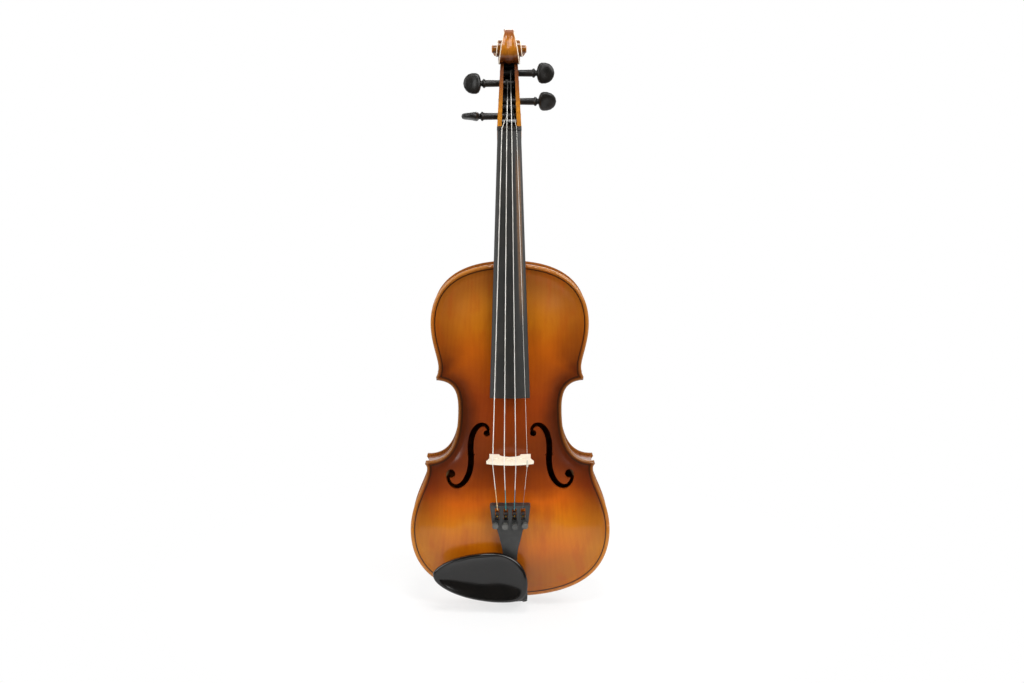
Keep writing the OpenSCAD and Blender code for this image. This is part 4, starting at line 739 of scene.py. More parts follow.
@dataclass(frozen=True)
class SpruceVarnish(Finish):
    """Shaded varnish on the top: amber bouts, a dark waist, fine straight grain, inlaid edge."""

    middle: tuple[tuple[float, str], ...] = (
        (0.0, "A1510D"), (0.1, "A6570B"), (0.18, "CC7009"), (0.245, "D17D0B"), (0.31, "D1660C"),
        (0.36, "964208"), (0.42, "763109"), (0.47, "7A350B"), (0.56, "943D07"), (0.62, "A34508"),
        (0.74, "C6650B"), (0.8, "C87611"), (0.9, "BF7719"), (1.0, "B76C1D"))
    flank: tuple[tuple[float, str], ...] = (
        (0.0, "9D510F"), (0.17, "BB750C"), (0.25, "A8620F"), (0.29, "94500C"), (0.345, "742D06"),
        (0.4, "582207"), (0.5, "512108"), (0.62, "532308"), (0.69, "622909"), (0.76, "964D0C"),
        (0.82, "A85F13"), (0.9, "9B5A19"), (1.0, "905113"))
    rim: str = "C07E34"
    red: str = "AE4A0A"
    span_z: float = 376.0

    def surface(self) -> Surface:
        """Build the nodes."""
        s = Surface(self.name, Coat_Weight=0.55, Coat_Roughness=0.12, Specular_IOR_Level=0.15, IOR=1.5)
        edge = s.attribute(EDGE_ATTRIBUTE)
        cloud = s.group(Effects.handling(), Vector=s.mm, Size=40.0)
        uneven = s.times(s.math("SUBTRACT", cloud.outputs["Smear"], 0.5), 26.0)
        height = s.math("DIVIDE", s.math("ADD", s.z, uneven), self.span_z)
        from_waist = s.math("ABSOLUTE", s.math("SUBTRACT", s.z, DARKEST_Z))
        reach = s.span(from_waist, 40.0, 105.0, 28.0, 48.0)
        inside = s.math("DIVIDE", s.math("MULTIPLY_ADD", uneven, 0.6, edge), reach)
        outward = s.span(inside, 1.0, 0.15)
        base = s.blend(outward, s.ramp(height, self.middle), s.ramp(height, self.flank))
        mottle = s.noise(s.scaled(s.mm, (0.09, 0.09, 0.028)), 1.0, 3.0)
        warm = s.times(s.span(mottle, 0.46, 0.72, 0.0, 0.38), s.span(from_waist, 60.0, 100.0))
        base = s.blend(warm, base, self.red)
        grain = s.group(Effects.grain(), Vector=s.mm, Lines_per_mm=0.78, Waver=0.5)
        base = s.blend(s.times(grain.outputs["Line"], 0.55), base, "B07840", "MULTIPLY")
        base = s.blend(s.times(grain.outputs["Fibre"], 0.3), base, "A86A34", "MULTIPLY")
        paler = s.times(s.span(edge, 3.6, 0.8), s.span(from_waist, 95.0, 55.0, 0.65, 0.35))
        base = s.blend(paler, base, self.rim)
        inlay = Inlay(s, edge)
        s.colour(inlay.over(base))
        s.rough(s.math("MULTIPLY_ADD", cloud.outputs["Smear"], 0.16, 0.24))
        s.bump(s.math("MULTIPLY_ADD", inlay.mask, -0.7, s.times(grain.outputs["Line"], 0.6)), 0.04)
        return s


@dataclass(frozen=True)
class MapleVarnish(Finish):
    """Varnish over flamed maple, for the back, the ribs and the neck, with painted light and shade where
    asked.
    """

    light: str = "A8621A"
    deep: str = "642808"
    worn: str = "E8C48E"
    bars_per_mm: float = 0.11
    inlaid: bool = False
    shaded: bool = True
    # Colours by height that paint light and shade along the piece.
    heights: tuple[tuple[float, str], ...] = ()
    # Near black for the pegbox's inside and the scroll's hollows: a stain and painted shade.
    stain_and_shade: str = "120B07"

    def surface(self) -> Surface:
        """Build the nodes."""
        s = Surface(self.name, Coat_Weight=0.6, Coat_Roughness=0.1, Specular_IOR_Level=0.2, IOR=1.5)
        flame = s.group(Effects.flame(), Vector=s.mm, Bars_per_mm=self.bars_per_mm)
        cloud = s.group(Effects.handling(), Vector=s.mm, Size=40.0)
        grain = s.group(Effects.grain(), Vector=s.mm, Lines_per_mm=0.45, Waver=0.8)
        tone = s.math("MULTIPLY_ADD", flame.outputs["Bar"], 0.4, s.times(cloud.outputs["Smear"], 0.45))
        light = self.light
        # Colour by height: painted light and shade along the neck.
        if self.heights:
            low, high = self.heights[0][0], self.heights[-1][0]
            share = s.math("DIVIDE", s.math("SUBTRACT", s.z, low), high - low)
            light = s.ramp(share, [((z - low) / (high - low), code) for z, code in self.heights])
            tone = s.times(tone, 0.55)
        base = s.blend(tone, light, self.deep)
        base = s.blend(s.times(grain.outputs["Fibre"], 0.3), base, "7A3C14", "MULTIPLY")
        if self.shaded:
            waist = s.span(s.math("ABSOLUTE", s.math("SUBTRACT", s.z, DARKEST_Z)), 120.0, 30.0, 0.0, 0.5)
            base = s.blend(waist, base, "571F07")
        if self.inlaid:
            edge = s.attribute(EDGE_ATTRIBUTE)
            base = Inlay(s, edge).over(base)
            base = s.blend(s.span(edge, 3.4, 1.0, 0.0, 0.7), base, "A8672A")
        else:
            wear = s.attribute(WEAR_AND_SHADE_ATTRIBUTE)
            rubbed = s.times(wear, s.span(cloud.outputs["Speck"], 0.1, 0.4, 0.7, 1.0))
            base = s.blend(s.span(rubbed, 0.3, 0.8), base, self.worn)
            # Below 0 the vertex layer darkens the colour to near black: a black stain inside the pegbox that
            # also paints the shade there, and painted shade in the scroll's hollows.
            base = s.blend(s.span(wear, -0.2, -0.8), base, self.stain_and_shade)
        s.colour(base)
        s.rough(s.math("MULTIPLY_ADD", cloud.outputs["Smear"], 0.2, 0.22))
        s.bump(grain.outputs["Fibre"], 0.03)
        return s


@dataclass(frozen=True)
class Ebony(Finish):
    """Dark hardwood, from satin to a full polish, with a brown streak beside the treble edge where asked."""

    black: str = "1C1B19"
    brown: str = "33261B"
    gloss: float = 0.38
    coat: float = 0.0
    specular: float = 0.5
    rubbed: bool = False

    def surface(self) -> Surface:
        """Build the nodes."""
        s = Surface(self.name, Coat_Weight=self.coat, Coat_Roughness=0.07, Specular_IOR_Level=self.specular)
        grain = s.group(Effects.grain(), Vector=s.mm, Lines_per_mm=0.7, Waver=1.2)
        cloud = s.group(Effects.handling(), Vector=s.mm, Size=16.0)
        streak = s.times(grain.outputs["Fibre"], s.span(cloud.outputs["Smear"], 0.35, 0.7))
        base = s.blend(s.times(streak, 0.8), self.black, self.brown)
        # Where asked, a brown streak beside the board's treble edge, from about 300 to 490 mm up, broken by
        # the fibres.
        if self.rubbed:
            beside = s.math("SUBTRACT", s.x, s.span(s.z, 500.0, 230.0, 8.6, 13.6))
            lane = s.span(s.math("ABSOLUTE", beside), 3.4, 0.8)
            reach = s.times(s.span(s.z, 490.0, 455.0), s.span(s.z, 300.0, 345.0))
            worn = s.times(s.times(lane, reach), s.span(grain.outputs["Fibre"], 0.25, 0.55))
            base = s.blend(s.times(worn, 0.85), base, "7E5A38")
        s.colour(base)
        s.rough(s.math("MULTIPLY_ADD", cloud.outputs["Smear"], 0.16, self.gloss - 0.08))
        s.bump(grain.outputs["Fibre"], 0.02)
        return s


@dataclass(frozen=True)
class PaleWood(Finish):
    """Bare wood: bridge maple with flecks, or the spruce of the inner work."""

    light: str = "F2E2BE"
    dark: str = "CDB080"
    fleck: float = 0.5
    aged: str = "A88858"

    def surface(self) -> Surface:
        """Build the nodes."""
        s = Surface(self.name, IOR=1.45)
        grain = s.group(Effects.grain(), Vector=s.mm, Lines_per_mm=0.6, Waver=0.8)
        cloud = s.group(Effects.handling(), Vector=s.mm, Size=9.0)
        spots = s.span(s.noise(s.scaled(s.mm, (0.5, 2.6, 2.6)), 1.0, 1.0), 0.6, 0.68)
        base = s.blend(s.times(grain.outputs["Line"], 0.4), self.light, self.dark)
        base = s.blend(s.times(spots, self.fleck), base, self.dark)
        base = s.blend(s.span(cloud.outputs["Smear"], 0.5, 0.9, 0.0, 0.35), base, self.aged)
        s.colour(base)
        s.rough(s.math("MULTIPLY_ADD", cloud.outputs["Smear"], 0.2, 0.42))
        s.bump(grain.outputs["Fibre"], 0.04)
        return s


@dataclass(frozen=True)
class Moulded(Finish):
    """Moulded or painted dark fittings with a fine texture."""

    tone: str = "2C2C2B"
    pale: str = "3C3C3B"
    gloss: float = 0.42
    texture: float = 0.02
    metallic: float = 0.0

    def surface(self) -> Surface:
        """Build the nodes."""
        s = Surface(self.name, Metallic=self.metallic, IOR=1.5)
        cloud = s.group(Effects.handling(), Vector=s.mm, Size=11.0)
        base = s.blend(s.span(cloud.outputs["Smear"], 0.35, 0.75), self.tone, self.pale)
        s.colour(base)
        s.rough(s.math("MULTIPLY_ADD", cloud.outputs["Speck"], 0.18, self.gloss - 0.09))
        s.bump(cloud.outputs["Speck"], self.texture)
        return s


@dataclass(frozen=True)
class Metal(Finish):
    """Bright metal with light smears."""

    tone: str = "D2CFC8"
    shade: str = "A8A49C"
    gloss: float = 0.22

    def surface(self) -> Surface:
        """Build the nodes."""
        s = Surface(self.name, Metallic=1.0)
        cloud = s.group(Effects.handling(), Vector=s.mm, Size=7.0)
        s.colour(s.blend(s.span(cloud.outputs["Smear"], 0.4, 0.8), self.tone, self.shade))
        s.rough(s.math("MULTIPLY_ADD", cloud.outputs["Smear"], 0.2, self.gloss - 0.1))
        s.bump(cloud.outputs["Speck"], 0.01)
        return s


@dataclass(frozen=True)
class StringWire(Finish):
    """Wound or plain string with a silk wrap at its lower end, and painted shade high up in the pegbox."""

    silk: str = "E8DDBE"
    wire: str = "F6F2EA"
    wound: bool = True
    silk_z: float = 137.0
    thread: str = "6F6A60"
    shaded_z: float = 542.0

    def surface(self) -> Surface:
        """Build the nodes."""
        s = Surface(self.name)
        wrapped = s.span(s.z, self.silk_z + 1.0, self.silk_z - 1.0)
        cloud = s.group(Effects.handling(), Vector=s.mm, Size=12.0)
        wire = s.blend(s.span(cloud.outputs["Smear"], 0.4, 0.8), self.wire, "C9C5BC")
        # Painted shadow: dark grey above shaded_z, where the string runs into the pegbox's shade.
        wire = s.blend(s.span(s.z, self.shaded_z - 4.0, self.shaded_z + 4.0), wire, "4C4A46")
        thread = s.blend(s.span(cloud.outputs["Speck"], 0.3, 0.7), self.silk, self.thread)
        s.colour(s.blend(wrapped, wire, thread))
        s.feed(s.math("MULTIPLY_ADD", wrapped, -0.3, 0.3), s.shader.inputs["Metallic"])
        s.rough(s.math("MULTIPLY_ADD", wrapped, 0.36, 0.34))
        turns = s.math("SINE", s.times(s.z, 2 * math.pi / 0.35))
        s.bump(turns, 0.02 if self.wound else 0.002)
        return s


@dataclass(frozen=True)
class CorkSheet(Finish):
    """Cork pads, grainy and dull."""

    tone: str = "A98158"
    pit: str = "5E4028"

    def surface(self) -> Surface:
        """Build the nodes."""
        s = Surface(self.name)
        cell = s.add("ShaderNodeTexVoronoi")
        s.link(s.mm, cell.inputs["Vector"])
        cell.inputs["Scale"].default_value = 1.4
        pits = s.span(cell.outputs["Distance"], 0.25, 0.6)
        s.colour(s.blend(pits, self.tone, self.pit))
        s.rough(s.math("MULTIPLY_ADD", pits, 0.1, 0.82))
        s.bump(pits, 0.08)
        return s


SPRUCE_TOP = SpruceVarnish("top varnish")
MAPLE_BACK = MapleVarnish("back varnish", inlaid=True)
MAPLE_RIBS = MapleVarnish("rib varnish", light="A25C18", bars_per_mm=0.13)
# The neck's colour by height paints light and shade: darker up the pegbox to a painted shadow under the
# scroll from 556 to 573, a painted highlight on the scroll's front from 580 to 591, and darker again above.
MAPLE_NECK = MapleVarnish(
    "neck varnish", deep="7E3E0A", worn="FBE8CE", shaded=False,
    heights=(
        (500.0, "CE8822"), (525.0, "CC8622"), (542.0, "9C5A16"), (556.0, "6E380D"), (567.0, "522507"),
        (573.0, "6E340B"), (580.0, "CC801C"), (591.0, "C67A1C"), (597.0, "945216"), (606.0, "8A4A16")))
BOARD_EBONY = Ebony("fingerboard ebony", black="20201E", brown="2E2A25", gloss=0.44, rubbed=True)
PEG_EBONY = Ebony("peg ebony", black="181715", brown="282019", gloss=0.38, specular=0.38)
CHIN_EBONY = Ebony("chin rest ebony", black="0E0D0C", brown="17130F", gloss=0.16, coat=0.4, specular=0.3)
BRIDGE_MAPLE = PaleWood("bridge maple", light="FCF2DE", dark="EEDAB6")
INNER_SPRUCE = PaleWood("inner spruce", light="8E6E44", dark="6A4C2A", fleck=0.1, aged="543A20")
COMPOSITE = Moulded("tailpiece composite", tone="2B2B2A", pale="383837")
SCREW_BLACK = Moulded("tuner screw black", tone="3E3E3C", pale="605F5B", gloss=0.26, texture=0.008)
TUNER_BLACK = Moulded("tuner black", tone="121211", pale="1D1D1C", gloss=0.3, texture=0.008)
GUT_NYLON = Moulded("tail gut nylon", tone="141413", pale="20201F", gloss=0.36)
SLEEVE_TUBE = Moulded("string sleeve", tone="D8D2C2", pale="E6E0D2", gloss=0.5)
NICKEL = Metal("nickel plate")
PIVOT_STEEL = Metal("pivot steel", tone="BDB9B2", shade="8C8880", gloss=0.3)
# Dull brass, darkened as painted shade of the tailpiece's slots.
SHADED_BALL_BRASS = Metal("ball brass", tone="6E5428", shade="443218", gloss=0.36)
CORK = CorkSheet("cork")
# The windings are dark grey all over: painted shade of the pegbox on them.
SHADED_WINDING = StringWire("winding silk", silk="45433F", thread="2A2926", silk_z=700.0)
# shaded_z is where each string's painted shadow begins, just above the nut for G and E.
SILKS = {
    String.G: StringWire("string G", silk="F0D8A8", thread="B98C58", shaded_z=511.0),
    String.D: StringWire("string D", silk="36A6A6", thread="2C7C80", shaded_z=532.0),
    String.A: StringWire("string A", silk="4E98A8", thread="34707C", shaded_z=537.0),
    String.E: StringWire("string E", silk="84848C", wound=False, shaded_z=511.0),
}


@dataclass
class Instrument:
    """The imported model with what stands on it."""

    frame: dict
    body_of: dict[str, str] = field(default_factory=dict)
    slot_of: dict[str, str] = field(default_factory=dict)
    merge: float = 0.003
    flat_angle: float = 0.4
    cuts: int = 12

    def __post_init__(self) -> None:
        """Look up the body and the slot of every node."""
        record = self.frame["record"]
        for body, nodes in record["behaviour"]["bodies"].items():
            for node in nodes:
                self.body_of[node] = body
        for entry in record["subparts"]:
            self.slot_of[entry["node"]] = entry["material_slot"]

    def keep(self, node: str, finish: Finish) -> None:
        """Show a CAD node as it is, with a better material."""
        materials = self.frame["nodes"][node].data.materials
        materials.clear()
        materials.append(finish.material())
        LOG.info("%s keeps its solid", node)

    def adopt(self, piece: bpy.types.Object, finish: Finish, *nodes: str) -> None:
        """Let a new piece stand for CAD nodes.

        Args:
            piece: The piece.
            finish: Its finish.
            nodes: The nodes it replaces, the first of which gives its body.
        """
        piece.data.materials.clear()
        piece.data.materials.append(finish.material())
        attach(piece, self.body_of[nodes[0]])
        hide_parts(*nodes)
        LOG.info("%s stands for %s", piece.name, ", ".join(nodes))

    def refine(self, node: str, finish: Finish, rounding: float, segments: int = 2,
               drawn_in: Sequence[tuple[float, float]] = ()) -> bpy.types.Object:
        """Replace a node by a merged copy with rounded edges.

        Args:
            node: The CAD node.
            finish: Finish of the copy.
            rounding: Width of the rounded edges in millimetres, 0 for none.
            segments: Steps of the rounding.
            drawn_in: Heights and the share of its width that the copy has there.

        Returns:
            The new piece.
        """
        bm = bmesh.new()
        bm.from_mesh(self.frame["nodes"][node].data)
        bmesh.ops.remove_doubles(bm, verts=bm.verts[:], dist=self.merge * MM)
        flat = math.radians(self.flat_angle)
        bmesh.ops.dissolve_limit(bm, angle_limit=flat, verts=bm.verts[:], edges=bm.edges[:])
        if drawn_in:
            heights, shares = zip(*drawn_in)
            for z in np.linspace(heights[0], heights[-1], self.cuts):
                every = bm.verts[:] + bm.edges[:] + bm.faces[:]
                bmesh.ops.bisect_plane(bm, geom=every, plane_co=(0, 0, z * MM), plane_no=(0, 0, 1))
            for vert in bm.verts:
                vert.co.x *= float(np.interp(vert.co.z / MM, heights, shares))
        piece = Mesh.finish(bm, f"{node}_fine")
        if rounding:
            Mesh.bevel(piece, rounding, segments)
        self.adopt(piece, finish, node)
        return piece


@dataclass
class Plate:
    """One arched plate, with its rounded edge, hollowed channel and inlaid line.

    Fields named clear keep the mesh's free points off its edges and off each other.
    """

    face: Face
    arch_h: float
    middle_t: float
    holes: Sequence[SoundHole] = ()
    outline: Outline = field(default_factory=Outline)
    frame: Frame = field(default_factory=Frame)
    border: float = 6.5
    inner_border: float = 8.0
    slope: float = 45.9
    edge_round: float = 1.7
    channel_deep: float = 0.55
    channel_at: float = 8.5
    channel_w: float = 6.0
    grid: float = 3.6
    rings: tuple[float, ...] = (0.35, 0.85, 1.7, 2.8, 3.9, 4.65, 5.4, 6.6, 8.4, 10.4, 12.8)
    neck_notch: tuple[float, float] = (16.6, 9.0)
    saddle_notch: tuple[float, float] = (12.5, 6.4)
    notch_past: float = 5.0
    button_r: float = 10.6
    button_out: float = 1.5
    button_under: float = 10.0
    button_steps: int = 24
    button_edge: float = 0.9
    cross_power: float = 1.35
    along_power: float = 2.2
    row_share: float = 0.866
    ring_clear: float = 0.93
    grid_clear: float = 0.6
    cut_clear: float = 0.5

    def arch(self, plan: np.ndarray, distance: np.ndarray, edge: float, rise: float,
             border: float) -> np.ndarray:
        """Height of an arched face over the glue plane.

        Args:
            plan: Points of the plan.
            distance: Their distance from the edge.
            edge: Height at the edge.
            rise: Height of the arch above that.
            border: Width of the flat border.

        Returns:
            The heights.
        """
        across = np.abs(plan[:, 0]) / np.maximum(1.0, self.outline.cross_half_width(plan[:, 1]))
        along = np.minimum(1.0, np.abs(2 * plan[:, 1] / self.outline.length - 1))
        curve = np.cos(0.5 * np.pi * np.minimum(across, 1) ** self.cross_power) ** 2
        cross = np.where(across >= 1, 0.0, curve * (1 - along**self.along_power))
        near = 0.5 * smooth_ramp((distance - border) / self.slope)
        return edge + rise * (near + 0.5 * cross * smooth_ramp((distance - border) / border))

    def outer(self, plan: np.ndarray, distance: np.ndarray) -> np.ndarray:
        """Height of the outer face, with its rounded edge and channel."""
        edge = self.frame.plate_edge
        height = self.arch(plan, distance, edge, self.arch_h - edge, self.border)
        short = np.clip(self.edge_round - distance, 0, self.edge_round)
        height -= self.edge_round - np.sqrt(np.maximum(0, self.edge_round**2 - short**2))
        bowl = np.clip(np.abs(distance - self.channel_at) / self.channel_w, 0, 1)
        return height - self.channel_deep * (1 - smooth_ramp(bowl))

    def inner(self, plan: np.ndarray, distance: np.ndarray) -> np.ndarray:
        """Height of the inner face."""
        return self.arch(plan, distance, 0.0, self.arch_h - self.middle_t, self.inner_border)

    def hole_loops(self) -> list[np.ndarray]:
        """Loops of everything that is cut out of the plan."""
        loops = []
        for hole in self.holes:
            for loop in hole.loops():
                loops.append(loop)
                loops.append((loop * [-1, 1])[::-1])
        if self.face is Face.FRONT:
            hw, deep = self.neck_notch
            low, high = self.outline.length - deep, self.outline.length + self.notch_past
            loops.append(np.array([[-hw, low], [hw, low], [hw, high], [-hw, high]]))
            hw, deep = self.saddle_notch
            low = -self.notch_past
            loops.append(np.array([[-hw, low], [hw, low], [hw, deep], [-hw, deep]]))
        return loops

    def boundary(self) -> np.ndarray:
        """Outer loop of the plan; the back carries its button at the top."""
        loop = self.outline.loop(3)
        if self.face is Face.FRONT:
            return loop
        top = self.outline.length
        kept = loop[~((np.abs(loop[:, 0]) < self.button_r) & (loop[:, 1] > top - self.button_under))]
        turn = np.linspace(0, np.pi, self.button_steps)
        arc = np.column_stack([np.cos(turn), np.sin(turn)]) * self.button_r + [0, top + self.button_out]
        split = int(np.nonzero((kept[:, 0] < 0) & (kept[:, 1] > top / 2))[0][0])
        return np.vstack([kept[:split], arc, kept[split:]])

    def plan_points(self, loops: list[np.ndarray], boundary: np.ndarray) -> np.ndarray:
        """Free points inside the plan: rings beside the edge, then an even grid.

        Args:
            loops: The cut-outs.
            boundary: The outer loop.

        Returns:
            Array of points, clear of the edge and of the cut-outs.
        """
        loop = self.outline.loop(2)
        tangent = np.roll(loop, -1, 0) - np.roll(loop, 1, 0)
        tangent /= np.maximum(np.linalg.norm(tangent, axis=1), 1e-9)[:, None]
        inward = np.column_stack([-tangent[:, 1], tangent[:, 0]])
        groups = []
        for depth in self.rings:
            ring = loop + inward * depth
            groups.append(ring[self.outline.edge_distance(ring) > self.ring_clear * depth])
        xs = np.arange(-self.outline.lower_hw, self.outline.lower_hw, self.grid)
        zs = np.arange(0.0, self.outline.length, self.grid * self.row_share)
        gx, gz = np.meshgrid(xs, zs)
        gx = gx + (np.arange(len(zs)) % 2)[:, None] * self.grid / 2
        mesh = np.column_stack([gx.ravel(), gz.ravel()])
        mesh = mesh[inside_loop(mesh, boundary)]
        inmost = self.rings[-1] + self.grid_clear * self.grid
        groups.append(mesh[self.outline.edge_distance(mesh) > inmost])
        points = np.vstack(groups)
        points = points[inside_loop(points, boundary)]
        for cut in loops:
            closed = np.vstack([cut, cut[:1]])
            clear = distance_to_path(points, closed) > self.cut_clear
            points = points[~inside_loop(points, cut) & clear]
        return points

    def build(self, name: str) -> bpy.types.Object:
        """Mesh the plan, raise it to the arch and give it its thickness.

        Args:
            name: Name of the piece.

        Returns:
            The finished piece.
        """
        boundary, loops = self.boundary(), self.hole_loops()
        free = self.plan_points(loops, boundary)
        rows, edges, count = [], [], 0
        for loop in [boundary] + loops:
            rows.append(loop)
            edges += [(count + i, count + (i + 1) % len(loop)) for i in range(len(loop))]
            count += len(loop)
        coords = [Vector(p) for p in np.vstack(rows + [free])]
        verts, _, faces, *_ = delaunay_2d_cdt(coords, edges, [], 0, 1e-5)
        plan = np.array([tuple(v) for v in verts])
        corners = np.array([f for f in faces if len(f) == 3])
        centres = plan[corners].mean(1)
        keep = inside_loop(centres, boundary)
        for loop in loops:
            keep &= ~inside_loop(centres, loop)
        distance = self.outline.edge_distance(plan)
        beyond = ~inside_loop(plan, self.outline.loop(3))
        distance = np.where(beyond, np.minimum(distance, self.button_edge), distance)
        height = self.outer(plan, distance)
        bm = bmesh.new()
        sheet = [bm.verts.new(self.place(p, h)) for p, h in zip(plan, height)]
        for corner in corners[keep]:
            bm.faces.new([sheet[i] for i in corner])
        bmesh.ops.delete(bm, geom=[v for v in bm.verts if not v.link_faces], context="VERTS")
        made = bmesh.ops.extrude_face_region(bm, geom=bm.faces[:])
        under = [g for g in made["geom"] if isinstance(g, bmesh.types.BMVert)]
        flat = np.array([(v.co.x / MM, v.co.z / MM - self.frame.edge_z) for v in under])
        depth = self.outline.edge_distance(flat)
        for vert, p, h in zip(under, flat, self.inner(flat, depth)):
            vert.co = self.place(p, h)
        bmesh.ops.recalc_face_normals(bm, faces=bm.faces[:])
        piece = Mesh.finish(bm, name, sharp=50.0)
        co = np.zeros(len(piece.data.vertices) * 3)
        piece.data.vertices.foreach_get("co", co)
        co = co.reshape(-1, 3) / MM
        where = np.column_stack([co[:, 0], co[:, 2] - self.frame.edge_z])
        Mesh.point_values(piece, EDGE_ATTRIBUTE, self.outline.edge_distance(where))
        return piece

    def place(self, plan: Sequence[float], height: float) -> Vector:
        """Put a plan point at a height over the glue plane, in metres."""
        y = self.face.value * (self.frame.glue_y + height)
        return Vector((plan[0], y, plan[1] + self.frame.edge_z)) * MM


@dataclass
class Neck:
    """Shaft, heel, pegbox and scroll, carved from one piece.

    Fields named back draw the pegbox's back in side view, those named chin the blend below it, and
    those named turns are degrees along the scroll's spiral.
    """

    tilt: float = 6.1
    length: float = 134.5
    overstand: float = 7.6
    nut_w: float = 25.0
    board_nut_w: float = 23.8
    board_end_w: float = 41.0
    board_len: float = 271.0
    nut_t: float = 4.4
    shaft_nut: float = 12.0
    shaft_heel: float = 13.0
    heel_flat: float = 6.0
    heel_len: float = 24.0
    heel_taper: float = 0.36
    root_depth: float = 9.0
    pegbox_len: float = 61.5
    box_top: float = 67.6
    throat_w: float = 18.6
    throat_drop: float = 14.0
    cheek_nut: float = 4.8
    cheek_throat: float = 3.7
    floor_t: float = 5.5
    end_wall: float = 2.4
    cheek_low: float = 2.4
    cheek_set: float = 0.4
    cheek_rows: tuple[float, ...] = (0.0, 0.15, 0.85, 0.95, 1.0)
    low_wall_front: float = 4.5
    high_wall: tuple[tuple[float, float, float], ...] = ((0.0, 24.0, 38.0), (12.0, 24.0, 34.0))
    floor_inset: float = 0.2
    wall_inset: float = 1.0
    back_turn: float = -38.0
    back_set: float = 0.3
    back_handles: tuple[tuple[float, float], ...] = ((-4.5, -19.0), (29.0, 3.0))
    back_end: float = -10.0
    back_steps: int = 26
    back_kept: int = 22
    chin_low: float = -17.0
    chin_handle: tuple[float, float] = (16.6, -5.6)
    chin_level: float = -8.0
    chin_inset: tuple[float, float] = (0.1, 0.15)
    chin_square: float = 38.0
    eye: tuple[float, float] = (18.5, 84.0)
    scroll_r: float = 22.0
    growth: float = 2.1
    ear_w: float = 35.4
    crown_w: float = 10.0
    first_turn: int = -60
    last_turn: int = 1080
    step: int = 4
    chamfer: float = 0.75
    flute: float = 0.16
    # Strength of the painted shade in the scroll's hollows.
    recess_shade: float = 0.5
    flute_turns: tuple[int, ...] = (110, 160)
    worn_turns: tuple[int, ...] = (105, 140, 660, 720)
    scoop: tuple[float, float] = (2.2, 0.26)
    scoop_start: float = 0.15
    scoop_steps: tuple[int, int] = (8, 28)
    lip_share: float = 0.05
    lip_drop: float = 0.1
    ramp_shares: tuple[float, ...] = (0.16, 0.32, 0.5, 0.68, 0.84, 0.96)
    shade_from: float = 0.4
    undercut: float = 0.3
    shallow_flute: float = 0.35
    ridge_wear: float = 0.35
    width_turns: tuple[int, ...] = (-60, 90, 135, 180, 225, 270, 450, 630, 720)
    frame: Frame = field(default_factory=Frame)

    def face_y(self, z: float) -> float:
        """Depth of the neck's face at height z."""
        base = -(self.frame.glue_y + self.frame.plate_edge + self.overstand)
        return base + (z - self.frame.top_z) * math.tan(math.radians(self.tilt))

    @property
    def nut_z(self) -> float:
        """Height of the nut's front edge."""
        return self.frame.top_z + self.length

    def world(self, x: float, back: float, up: float) -> tuple[float, float, float]:
        """A point of the neck's own frame in the row frame."""
        c, s = math.cos(math.radians(self.tilt)), math.sin(math.radians(self.tilt))
        return (x, self.face_y(self.nut_z) + back * c + up * s, self.nut_z - back * s + up * c)

    def half_width(self, z: float) -> float:
        """Half width of the shaft under the fingerboard."""
        return self.board_hw((self.nut_z - z) / math.cos(math.radians(self.tilt)))

    def board_hw(self, down: float) -> float:
        """Half width of the fingerboard at a distance below the nut."""
        return 0.5 * (self.board_nut_w + (self.board_end_w - self.board_nut_w) * down / self.board_len)

    def pegbox_hw(self, up: float) -> float:
        """Half width of the pegbox."""
        return 0.5 * (self.nut_w + (self.throat_w - self.nut_w) * up / self.pegbox_len)

    def cheek_t(self, up: float) -> float:
        """Thickness of the cheeks, which thin towards the throat."""
        share = min(1.0, max(0.0, up / self.pegbox_len))
        return self.cheek_nut + (self.cheek_throat - self.cheek_nut) * share

    def pegbox_front(self, up: float) -> float:
        """Front edge of the cheeks."""
        return self.throat_drop * (up - self.nut_t) / (self.pegbox_len - self.nut_t)

    def section(self, z: float) -> list[tuple[float, float, float]]:
        """Cross-section of the shaft or heel at height z."""
        grown = min(1.0, max(0.0, (z - self.frame.top_z - self.heel_flat) / self.heel_len))
        grow = 1 - math.sqrt(1 - (1 - grown) ** 2)
        share = max(0.0, (z - self.frame.top_z) / self.length)
        slim = self.shaft_heel + (self.shaft_nut - self.shaft_heel) * share
        depth = slim + (self.frame.glue_y - self.face_y(z) - slim) * grow
        ring = self.rounded(self.half_width(z), depth, 2 + 4 * grow, self.heel_taper * grow)
        return [(x, self.face_y(z) + back, z) for x, back in ring]

    @staticmethod
    def rounded(hw: float, depth: float, power: float, taper: float = 0.0) -> list[tuple[float, float]]:
        """Cross-section from half round to square, from one front edge over the back to the other.

        Args:
            hw: Half width at the front.
            depth: Depth of the back.
            power: 2 is half round, and more is squarer.
            taper: Share by which the back is narrower.

        Returns:
            Points as x and depth.
        """
        side = []
        for i in range(25):
            s = math.sin(0.5 * math.pi * i / 24)
            x = hw * (1 - taper * s) * (1 - min(1.0, s) ** power) ** (1 / power)
            side.append((x, depth * s))
        return side + [(-x, back) for x, back in side[-2::-1]]

    def shaft(self, bm: bmesh.types.BMesh) -> None:
        """Loft the shaft and the heel."""
        top = self.frame.top_z
        heights = [top - self.root_depth, top, top + self.heel_flat]
        heights += [top + self.heel_flat + self.heel_len * (i / 16) ** 1.6 for i in range(1, 17)]
        heights += list(np.linspace(top + self.heel_flat + self.heel_len + 8, self.nut_z + self.nut_t, 10))
        Mesh.loft(bm, [self.section(z) for z in heights])

    def spiral_r(self, turn: float) -> float:
        """Radius of the scroll's spiral."""
        return self.scroll_r * self.growth ** ((90 - turn) / 360)

